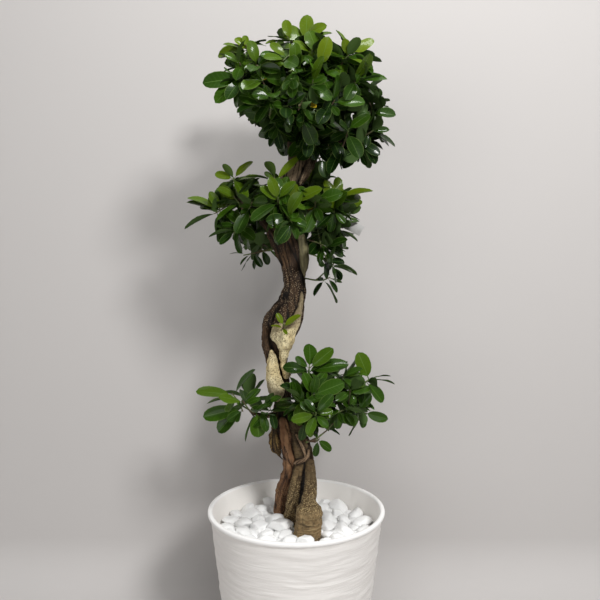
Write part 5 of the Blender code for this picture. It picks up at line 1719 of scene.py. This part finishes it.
@dataclass(frozen=True)
class Sprig:
    """A short leafy shoot inside a tier: its branch, its foot on a limb, its tip and its leaves."""

    node: str
    foot: Place
    tip: Place
    leaves: int
    length: float = 0.040

    def seats(self, dice: random.Random) -> list[LeafSeat]:
        """Seats of its leaves, which turn round its outer half and nod.

        Args:
            dice: Where chance comes from.

        Returns:
            The seats.
        """
        foot, tip = Vector(self.foot), Vector(self.tip)
        way = (tip - foot).normalized()
        aside = way.cross(UP).normalized()
        found = []
        for i in range(self.leaves):
            turn = Quaternion(way, 2.4 * i + dice.uniform(-0.4, 0.4))
            direction = (turn @ aside + way * dice.uniform(0.1, 0.9) - 0.25 * UP).normalized()
            up = squared(0.7 * UP - way.dot(UP) * way + 0.6 * way, direction)
            root = foot.lerp(tip, 0.55 + 0.45 * (i + 1) / self.leaves)
            found.append(LeafSeat(root, direction, up, self.length * dice.uniform(0.8, 1.1)))
        return found

    def twig(self) -> bpy.types.Object:
        """Its twig, tapered and bowed a little.

        Returns:
            The twig.
        """
        foot, tip = Vector(self.foot), Vector(self.tip)
        way = tip - foot
        bpy.ops.mesh.primitive_cone_add(vertices=6, radius1=0.0017, radius2=0.0008, depth=way.length,
                                        location=(foot + tip) / 2, rotation=way.to_track_quat("Z", "Y").to_euler())
        item = bpy.context.object
        bpy.ops.object.transform_apply(location=True, rotation=True, scale=True)
        with Bench.editing(item):
            bpy.ops.mesh.select_all(action="SELECT")
            bpy.ops.mesh.subdivide(number_cuts=3)
        for vert in item.data.vertices:
            share = (vert.co - foot).dot(way) / way.length_squared
            vert.co.z += 0.12 * way.length * share * (1 - share)
        Bench.smooth(item)
        return item


@dataclass(frozen=True)
class Blade:
    """One large leaf of a branch, from its root to its tip, with the way its upper side faces."""

    node: str
    root: Place
    tip: Place
    up: Place
    width: float

    def seat(self) -> LeafSeat:
        """Its seat.

        Returns:
            The seat.
        """
        root = Vector(self.root)
        way = Vector(self.tip) - root
        direction = way.normalized()
        return LeafSeat(root, direction, squared(Vector(self.up), direction), way.length)


@dataclass
class LeafCloud:
    """Points of the leaves at the twigs' ends, among which the older leaves are hidden.

    A clearing is a range of X and of Z, seen from the front, where no older leaf reaches. Elsewhere one of the
    nearest points has to stand before a point by the cover, unless it lies at the back.
    """

    seats: list[LeafSeat]
    limits: tuple[Vector, Vector]
    closeness: float = 0.0082
    margin: float = 0.010
    nearest: int = 6
    cover: float = 0.008
    back: float = 0.02
    places: tuple[tuple[float, float], ...] = ((0.3, 0.0), (0.6, -0.15), (0.6, 0.15), (0.95, 0.0))
    clearings: tuple[tuple[float, float, float, float], ...] = (
        (-0.200, -0.058, 0.840, 0.932), (-0.060, -0.028, 0.840, 0.918), (-0.031, 0.000, 0.840, 0.892),
        (0.074, 0.108, 0.942, 0.966), (-0.092, -0.076, 1.012, 1.040))
    points: list[Vector] = field(init=False)
    front: KDTree = field(init=False)
    side: KDTree = field(init=False)

    def __post_init__(self) -> None:
        """Sort the points as they are seen from the front and from the side."""
        self.points = [seat.at(share, side) for seat in self.seats for share, side in self.places]
        self.front, self.side = KDTree(len(self.points)), KDTree(len(self.points))
        for i, point in enumerate(self.points):
            self.front.insert(Vector((point.x, 0.0, point.z)), i)
            self.side.insert(Vector((0.0, point.y, point.z)), i)
        self.front.balance()
        self.side.balance()

    def hides(self, point: Vector) -> bool:
        """Whether a point lies among the leaves as seen from the front and the side, with a leaf before it.

        Args:
            point: The point.

        Returns:
            Whether it does.
        """
        low, high = self.limits
        if not all(low[i] + self.margin < point[i] < high[i] - self.margin for i in range(3)):
            return False
        if any(west < point.x < east and under < point.z < over for west, east, under, over in self.clearings):
            return False
        before = self.front.find_n(Vector((point.x, 0.0, point.z)), self.nearest)
        beside = self.side.find(Vector((0.0, point.y, point.z)))
        if before[0][2] > self.closeness or beside[2] > self.closeness:
            return False
        return point.y > self.back or min(self.points[i].y for _, i, _ in before) < point.y - self.cover


@dataclass
class Foliage:
    """All leafy branches, each with its twigs and leaves in one piece."""

    patterns: tuple[LeafPattern, ...] = (
        LeafPattern(0.16, 0.26, 0.05, 0.0), LeafPattern(0.30, 0.14, 0.08, 0.4), LeafPattern(0.08, 0.36, 0.04, -0.3),
        LeafPattern(0.38, 0.20, 0.08, -0.5), LeafPattern(0.20, -0.10, 0.12, 0.6), LeafPattern(0.24, 0.30, 0.10, 0.2))
    flushes: tuple[Flush, ...] = (
        Flush(-0.100, 1.058, 0.035, 0.62), Flush(-0.026, 1.053, 0.024, 0.66), Flush(0.098, 1.063, 0.036, 0.70),
        Flush(0.030, 0.439, 0.030, 0.45), Flush(-0.120, 0.480, 0.030, 0.45), Flush(-0.100, 0.835, 0.035, 0.60))
    odd_leaves: tuple[OddLeaf, ...] = (
        OddLeaf(-0.087, 1.070, turned=0.30), OddLeaf(-0.038, 0.967, turned=0.45, growth=0.8),
        OddLeaf(0.036, 0.916, turned=0.6, growth=0.5), OddLeaf(0.023, 0.786, turned=0.5, growth=0.6),
        OddLeaf(0.012, 0.545, growth=1.15, width=1.75), OddLeaf(0.107, 0.526, width=1.15),
        OddLeaf(-0.130, 0.481, width=0.66), OddLeaf(-0.0896, 1.033, growth=0.0),
        OddLeaf(0.030, 0.965, growth=1.3), OddLeaf(0.0165, 1.0593, growth=0.0),
        OddLeaf(0.0252, 1.0335, growth=0.0), OddLeaf(-0.0045, 1.0396, width=1.40),
        OddLeaf(-0.0396, 0.8925, growth=1.1, width=1.25), OddLeaf(-0.0101, 0.8487, width=0.46),
        OddLeaf(-0.0597, 0.4225, growth=0.85, width=1.45), OddLeaf(-0.0241, 0.7386, growth=0.0))
    blades: tuple[Blade, ...] = (
        Blade("top_branch_crown", (0.0150, -0.094, 1.0273), (0.0160, -0.098, 1.0661), (0.15, -1.0, -0.10), 1.10),
        Blade("top_branch_upper_front", (0.0319, -0.110, 1.0026), (0.0213, -0.114, 1.0350), (-0.1, -1.0, 0.15), 1.25),
        Blade("top_branch_low_front", (0.0417, -0.052, 0.8590), (0.0475, -0.056, 0.8290), (0.1, -1.0, 0.2), 1.30),
        Blade("middle_branch_front", (-0.0065, -0.117, 0.7490), (-0.0265, -0.126, 0.7210), (0.25, -0.95, 0.0), 1.25),
        Blade("lower_branch_front", (0.0140, -0.034, 0.4320), (0.0085, -0.036, 0.4010), (0.3, -1.0, 0.2), 1.15),
        Blade("lower_branch_front", (0.0194, -0.032, 0.4350), (0.0243, -0.037, 0.4070), (-0.3, -1.0, 0.3), 1.10),
        Blade("lower_branch_left", (-0.0215, -0.042, 0.4760), (-0.0415, -0.046, 0.4700), (-0.1, -0.75, 0.8), 1.20),
        Blade("lower_branch_left", (-0.0400, -0.044, 0.4640), (-0.0640, -0.052, 0.4560), (-0.2, -0.7, 0.8), 1.05))
    sprigs: tuple[Sprig, ...] = (
        Sprig("top_branch_low_front", (0.020, -0.004, 0.905), (0.016, -0.045, 0.893), 7),
        Sprig("top_branch_low_front", (0.030, -0.003, 0.885), (0.030, -0.045, 0.882), 6),
        Sprig("top_branch_low_front", (0.045, -0.004, 0.888), (0.054, -0.048, 0.893), 7),
        Sprig("top_branch_low_front", (0.012, -0.003, 0.935), (0.030, -0.060, 0.930), 7),
        Sprig("top_branch_low_left", (-0.015, -0.006, 0.915), (-0.024, -0.045, 0.908), 5, 0.032),
        Sprig("top_branch_crown", (0.008, 0.000, 0.985), (0.004, 0.004, 1.010), 8, 0.042),
        Sprig("top_branch_crown_back", (0.010, 0.002, 0.990), (0.034, 0.030, 1.012), 7, 0.042),
        Sprig("top_branch_crown", (0.008, -0.010, 0.985), (-0.006, -0.046, 1.018), 7),
        Sprig("top_branch_upper_left", (-0.044, -0.012, 0.955), (-0.056, -0.046, 0.998), 6),
        Sprig("top_branch_back_right", (0.048, -0.010, 0.972), (0.056, -0.046, 1.008), 6),
        Sprig("top_branch_back_right", (0.040, -0.006, 0.972), (0.056, 0.006, 1.000), 7, 0.042),
        Sprig("top_branch_upper_left", (-0.040, -0.011, 0.943), (-0.046, 0.012, 0.994), 7, 0.042),
        Sprig("top_branch_left", (-0.060, -0.016, 0.968), (-0.074, 0.020, 0.985), 6, 0.042),
        Sprig("top_branch_back_low", (0.006, 0.020, 0.930), (-0.036, 0.045, 0.962), 6),
        Sprig("top_branch_right", (0.060, -0.006, 0.984), (0.086, 0.012, 0.978), 6),
        Sprig("middle_branch_back_left", (-0.018, 0.000, 0.788), (-0.044, 0.012, 0.826), 7),
        Sprig("middle_branch_upper_right", (0.010, 0.000, 0.757), (0.030, 0.016, 0.806), 7),
        Sprig("middle_branch_right", (0.012, -0.006, 0.735), (0.050, -0.045, 0.718), 8),
        Sprig("middle_branch_right", (0.014, -0.008, 0.712), (0.058, -0.040, 0.692), 7, 0.034),
        Sprig("lower_branch_front", (0.010, -0.014, 0.452), (0.008, -0.050, 0.468), 6),
        Sprig("lower_branch_left", (-0.034, 0.000, 0.440), (-0.044, -0.038, 0.452), 5, 0.036))
    bare: tuple[float, float, float, float] = (-0.076, -0.028, 0.870, 0.919)
    lengths: tuple[float, float] = (0.033, 0.050)
    large: float = 0.046
    root_weight: int = 12
    tries: int = 40
    most_growth: float = 0.20
    knot_youth: float = 0.85
    least_youth: float = 0.02
    outer_youth_and_light: float = 0.14
    youth_spread: float = 0.28
    flush_spread: tuple[float, float] = (0.85, 1.1)
    seed: int = 23
    limits: tuple[Vector, Vector] = field(init=False)
    cloud: LeafCloud = field(init=False)
    kinds: list[bpy.types.Object] = field(init=False)
    leaf_material: bpy.types.Material = field(init=False)
    twig_material: bpy.types.Material = field(init=False)

    def branches(self) -> list[str]:
        """The names of the CAD nodes that are leafy branches."""
        return sorted(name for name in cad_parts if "_branch_" in name or name == "knot_sprig")

    def twigs(self, node: str) -> tuple[bpy.types.Object, list[LeafSeat]]:
        """The branch's bare twigs, and the seats of its leaves.

        Args:
            node: The CAD branch.

        Returns:
            The twigs as one skin, and the seats.
        """
        item = Bench.merged_copy(node, node + "_leaves")
        with Bench.editing(item) as mesh:
            mesh.verts.index_update()
            read = [LeafSeat.reading(vert) for vert in mesh.verts if len(vert.link_edges) == 3]
            read = [found for found in read if found]
            spare = {vert for _, verts, _ in read for vert in verts}
            bmesh.ops.delete(mesh, geom=[vert for vert in mesh.verts if vert in spare], context="VERTS")
            for _, _, foot in read:
                if not mesh.faces.get(foot):
                    mesh.faces.new(foot)
            bmesh.update_edit_mesh(item.data)
            bpy.ops.mesh.select_all(action="SELECT")
            bpy.ops.mesh.normals_make_consistent(inside=False)
        Bench.modify(item, "SUBSURF", levels=1, render_levels=1)
        Bench.modify(item, "DISPLACE", strength=0.0005, mid_level=0.0)
        return item, [seat for seat, _, _ in read]

    def thinned(self, seat: LeafSeat) -> bool:
        """Whether a leaf hangs where the top tier is open towards the left, behind the neck."""
        tip, (west, east, under, over) = seat.at(1.0), self.bare
        return tip.y > -0.03 and west < tip.x < east and under < tip.z < over

    def more_seats(self, node: str, twigs: bpy.types.Object, seats: list[LeafSeat],
                   dice: random.Random) -> list[LeafSeat]:
        """Seats of the older leaves along a branch's twigs, inside its tier.

        Args:
            node: The branch.
            twigs: Its bare twigs.
            seats: Its own leaves.
            dice: Where chance comes from.

        Returns:
            The new seats, each on a twig.
        """
        middle, wanted = Vector(Tier.of(node).value.middle), round(Fullness.of(node).value * len(seats))
        roots = [v.co.copy() for v in twigs.data.vertices]
        roots += [seat.root for seat in seats for _ in range(self.root_weight)]
        found: list[LeafSeat] = []
        for _ in range(self.tries * wanted):
            if len(found) == wanted:
                break
            root = dice.choice(roots)
            out = (root - middle).normalized()
            way = Vector((dice.gauss(0, 1), dice.gauss(0, 1), dice.gauss(0, 1))).normalized()
            direction = (way + 0.45 * out).normalized()
            up = 0.8 * UP + 0.5 * out + 0.5 * Vector((dice.gauss(0, 1), dice.gauss(0, 1), dice.gauss(0, 1)))
            seat = LeafSeat(root, direction, squared(up, direction), dice.uniform(*self.lengths))
            if self.cloud.hides(seat.at(1.0)) and self.cloud.hides(seat.at(0.6)):
                found.append(seat)
        return found

    def growth(self, node: str, seat: LeafSeat) -> float:
        """How much longer a leaf grows where it stays inside its tier.

        Args:
            node: The leaf's branch.
            seat: Its seat.

        Returns:
            Its growth.
        """
        tip = seat.at(1.0)
        if seat.length > 0.05 or node in BARE_BRANCHES or tip.z < 0.41:
            return 1.0
        return 1.0 + self.most_growth * clamp(1.05 - Tier.of(node).reach(tip), 0.6)

    def keep_within(self, mesh: bpy.types.Mesh, seat: LeafSeat) -> None:
        """Shrink a leaf towards its root until it lies inside the plant's own box.

        Args:
            mesh: The leaf.
            seat: Its seat.
        """
        low, high = self.limits
        for _ in range(12):
            if all(low[i] <= v.co[i] <= high[i] for v in mesh.vertices for i in range(3)):
                return
            mesh.transform(Matrix.Translation(seat.root) @ Matrix.Scale(0.96, 4) @ Matrix.Translation(-seat.root))

    def youth_and_light_of(self, node: str, seat: LeafSeat, dice: random.Random) -> float:
        """How young a leaf is, mixed with painted light: lighter towards the top and outside of its tier, darker deep
        inside it.

        Args:
            node: The leaf's branch.
            seat: Its seat.
            dice: Where chance comes from.

        Returns:
            From 0 to 1.
        """
        if node == "knot_sprig":
            return self.knot_youth
        tip, tier = seat.at(1.0), Tier.of(node)
        reach = min(tier.reach(tip), 1.1)
        above = min((tip.z - tier.value.middle[2]) / tier.value.half[2], 1.1)
        # Painted light: reach and height in the tier make the leaf lighter at the tier's top and outside, and darker
        # deep inside.
        youth_and_light = self.least_youth + self.outer_youth_and_light * reach ** 3 + tier.value.top_youth_and_light * above * reach
        youth_and_light += self.youth_spread * dice.random()
        for flush in self.flushes:
            if flush.distance(seat) < flush.reach:
                youth_and_light = max(youth_and_light, flush.youth_and_light * dice.uniform(*self.flush_spread))
        return clamp(youth_and_light)

    def leaf(self, node: str, seat: LeafSeat, habit: Habit, dice: random.Random) -> bpy.types.Object:
        """Grow one leaf.

        Args:
            node: Its branch.
            seat: Its seat.
            habit: How it differs from the others.
            dice: Where chance comes from.

        Returns:
            The leaf.
        """
        kind = dice.choice(self.kinds if seat.length < self.large else self.kinds[:1])
        width = dice.uniform(*Tier.of(node).value.widths) * habit.width
        leaf = Bench.copied(kind, "leaf", seat.placing(self.growth(node, seat) * habit.growth, width))
        leaf.data.materials.append(self.leaf_material)
        self.keep_within(leaf.data, seat)
        youth_and_light = self.youth_and_light_of(node, seat, dice)
        for name, value in (("youth_and_light", youth_and_light), ("chance", dice.random()), ("turned", habit.turned)):
            mark = leaf.data.attributes.new(name, "FLOAT", "FACE")
            mark.data.foreach_set("value", [value] * len(leaf.data.polygons))
        return leaf

    def clothe(self, node: str, twigs: bpy.types.Object, seats: list[LeafSeat], odd: dict[int, Habit]) -> int:
        """Grow all the leaves of a branch and join them to its twigs.

        Args:
            node: The branch.
            twigs: Its bare twigs.
            seats: The seats of its own leaves.
            odd: The habits of the leaves that differ from the others, by the identity of their seats.

        Returns:
            How many leaves it has.
        """
        dice = random.Random(f"{self.seed}{node}")
        shoots = [sprig for sprig in self.sprigs if sprig.node == node]
        older = self.more_seats(node, twigs, seats, dice) + [seat for sprig in shoots for seat in sprig.seats(dice)]
        own = [seat for seat in seats if (odd[id(seat)].growth if id(seat) in odd else not self.thinned(seat))]
        grown = [(seat, odd.get(id(seat), Habit())) for seat in own] + [(seat, Habit()) for seat in older]
        grown += [(blade.seat(), Habit(width=blade.width)) for blade in self.blades if blade.node == node]
        stalks = [sprig.twig() for sprig in shoots]
        for wood in (twigs, *stalks):
            wood.data.materials.clear()
            wood.data.materials.append(self.twig_material)
        leaves = [self.leaf(node, seat, habit, dice) for seat, habit in grown]
        Bench.join(twigs, *stalks, *leaves)
        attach(twigs, "root")
        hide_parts(node)
        "young_leaf" if node == "knot_sprig" else "leaf_green"
        LOG.info("%s: %d leaves, %d faces", twigs.name, len(leaves), len(twigs.data.polygons))
        return len(leaves)

    def build(self, skin: LeafSkin, bark: TwigSkin) -> None:
        """Build every branch.

        Args:
            skin: The leaves' finish.
            bark: The twigs' finish.
        """
        self.leaf_material, self.twig_material = skin.material(), bark.material()
        low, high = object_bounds()
        self.limits = (Vector(low), Vector(high))
        self.kinds = [pattern.build(f"leaf_pattern_{i}") for i, pattern in enumerate(self.patterns)]
        plans = {node: self.twigs(node) for node in self.branches()}
        every = [seat for _, seats in plans.values() for seat in seats]
        self.cloud = LeafCloud(every, self.limits)
        odd = {id(min(every, key=leaf.distance)): leaf for leaf in self.odd_leaves}
        total = sum(self.clothe(node, twigs, seats, odd) for node, (twigs, seats) in plans.items())
        for kind in self.kinds:
            bpy.data.objects.remove(kind)
        LOG.info("leaves in all: %d", total)


@dataclass
class PlantLabel:
    """The blank plant label on its strap."""

    edge: float = 0.00018
    sharp: float = 40.0

    def build(self, plastic: LabelPlastic) -> None:
        """Round the strip's edges and dress it.

        Args:
            plastic: Its finish.
        """
        item = Bench.merged_copy("plant_label", "blank_label")
        Bench.modify(item, "BEVEL", width=self.edge, segments=2, limit_method="ANGLE",
                     angle_limit=math.radians(self.sharp))
        Bench.smooth(item, self.sharp)
        Bench.settle(item, plastic.material(), "blank_label", "plant_label")


# ---- Studio ----

@dataclass(frozen=True)
class SoftBox:
    """A broad, soft lamp."""

    name: str
    place: Place
    target: Place
    size: float
    power: float

    def build(self) -> None:
        """Hang the lamp and aim it."""
        lamp = bpy.data.lights.new(self.name, "AREA")
        lamp.shape, lamp.size, lamp.energy = "DISK", self.size, self.power
        item = bpy.data.objects.new(self.name, lamp)
        item.location = self.place
        item.rotation_euler = (Vector(self.target) - Vector(self.place)).to_track_quat("-Z", "Y").to_euler()
        bpy.context.scene.collection.objects.link(item)


@dataclass
class Studio:
    """A pale floor that sweeps up into a backdrop, soft lamps and the camera."""

    wall: float = 0.27
    half_width: float = 3.2
    near: float = -3.0
    height: float = 3.6
    curve: float = 0.11
    curve_steps: int = 10
    camera_place: Place = (0.0063, -1.015, 0.66)
    camera_pitch: float = -1.6
    focal_length: float = 36.0
    sensor_width: float = 36.0
    lamps: tuple[SoftBox, ...] = (
        SoftBox("key_lamp", (0.95, -1.70, 1.75), (0.0, 0.0, 0.60), 0.5, 36.5),
        SoftBox("fill_lamp", (-1.3, -2.1, 0.7), (0.0, 0.0, 0.45), 1.6, 14.0),
        SoftBox("back_lamp", (-0.7, 2.2, 1.5), (0.0, 0.0, 0.8), 1.2, 6.0),
        SoftBox("top_lamp", (0.15, -0.60, 2.6), (0.0, 0.03, 0.5), 0.55, 26.0))
    sky: float = 0.07

    def build(self, paint: StudioPaint) -> None:
        """Build the sweep, the lamps, the sky and the camera.

        Args:
            paint: The sweep's finish.
        """
        self.sweep(paint)
        for lamp in self.lamps:
            lamp.build()
        self.hang_sky()
        self.set_camera()
        bpy.context.scene.view_settings.view_transform = "Standard"

    def hang_sky(self) -> None:
        """Light the scene evenly from all round with a faint white sky."""
        world = bpy.data.worlds.new("soft_sky")
        world.use_nodes = True
        background = world.node_tree.nodes["Background"]
        background.inputs["Color"].default_value = (1.0, 1.0, 1.0, 1.0)
        background.inputs["Strength"].default_value = self.sky
        bpy.context.scene.world = world

    def set_camera(self) -> None:
        """Stand the camera in front of the plant, pitched a little."""
        lens = bpy.data.cameras.new("camera")
        lens.lens, lens.sensor_width = self.focal_length, self.sensor_width
        camera = bpy.data.objects.new("camera", lens)
        camera.location = self.camera_place
        camera.rotation_euler = Euler((math.radians(90.0 + self.camera_pitch), 0.0, 0.0))
        bpy.context.scene.collection.objects.link(camera)
        bpy.context.scene.camera = camera

    def sweep(self, paint: StudioPaint) -> None:
        """Extrude the floor's far edge round a curve and up into the backdrop.

        Args:
            paint: Its finish.
        """
        bpy.ops.mesh.primitive_plane_add(size=2.0, location=ORIGIN)
        item = bpy.context.object
        item.name = "studio_sweep"
        with Bench.editing(item):
            Bench.pick(item, lambda v: v.co.y < 0)
            bpy.ops.transform.translate(value=(0.0, self.near + 1.0, 0.0))
            Bench.pick(item, lambda v: v.co.y > 0)
            bpy.ops.transform.translate(value=(0.0, self.wall - self.curve - 1.0, 0.0))
            for i in range(self.curve_steps):
                a, b = math.pi / 2 * i / self.curve_steps, math.pi / 2 * (i + 1) / self.curve_steps
                bpy.ops.mesh.extrude_region_move(TRANSFORM_OT_translate={"value": (
                    0.0, self.curve * (math.sin(b) - math.sin(a)), self.curve * (math.cos(a) - math.cos(b)))})
            bpy.ops.mesh.extrude_region_move(TRANSFORM_OT_translate={"value": (0.0, 0.0, self.height)})
            bpy.ops.mesh.select_all(action="SELECT")
            bpy.ops.transform.resize(value=(self.half_width, 1.0, 1.0), center_override=ORIGIN)
        Bench.smooth(item)
        item.data.materials.append(paint.material())
        item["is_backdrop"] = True


def main() -> None:
    """Build the planter, the plant and the studio around the frame, in order."""
    logging.basicConfig(level=logging.INFO, format="%(name)s: %(message)s")
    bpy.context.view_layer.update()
    Studio().build(StudioPaint())
    Planter().build(Glaze())
    Soil().build(Compost())
    Pebbles().build(WhiteStone())
    Trunk().build()
    Foliage().build(LeafSkin(), TwigSkin())
    PlantLabel().build(LabelPlastic())


if __name__ == "__main__":
    main()
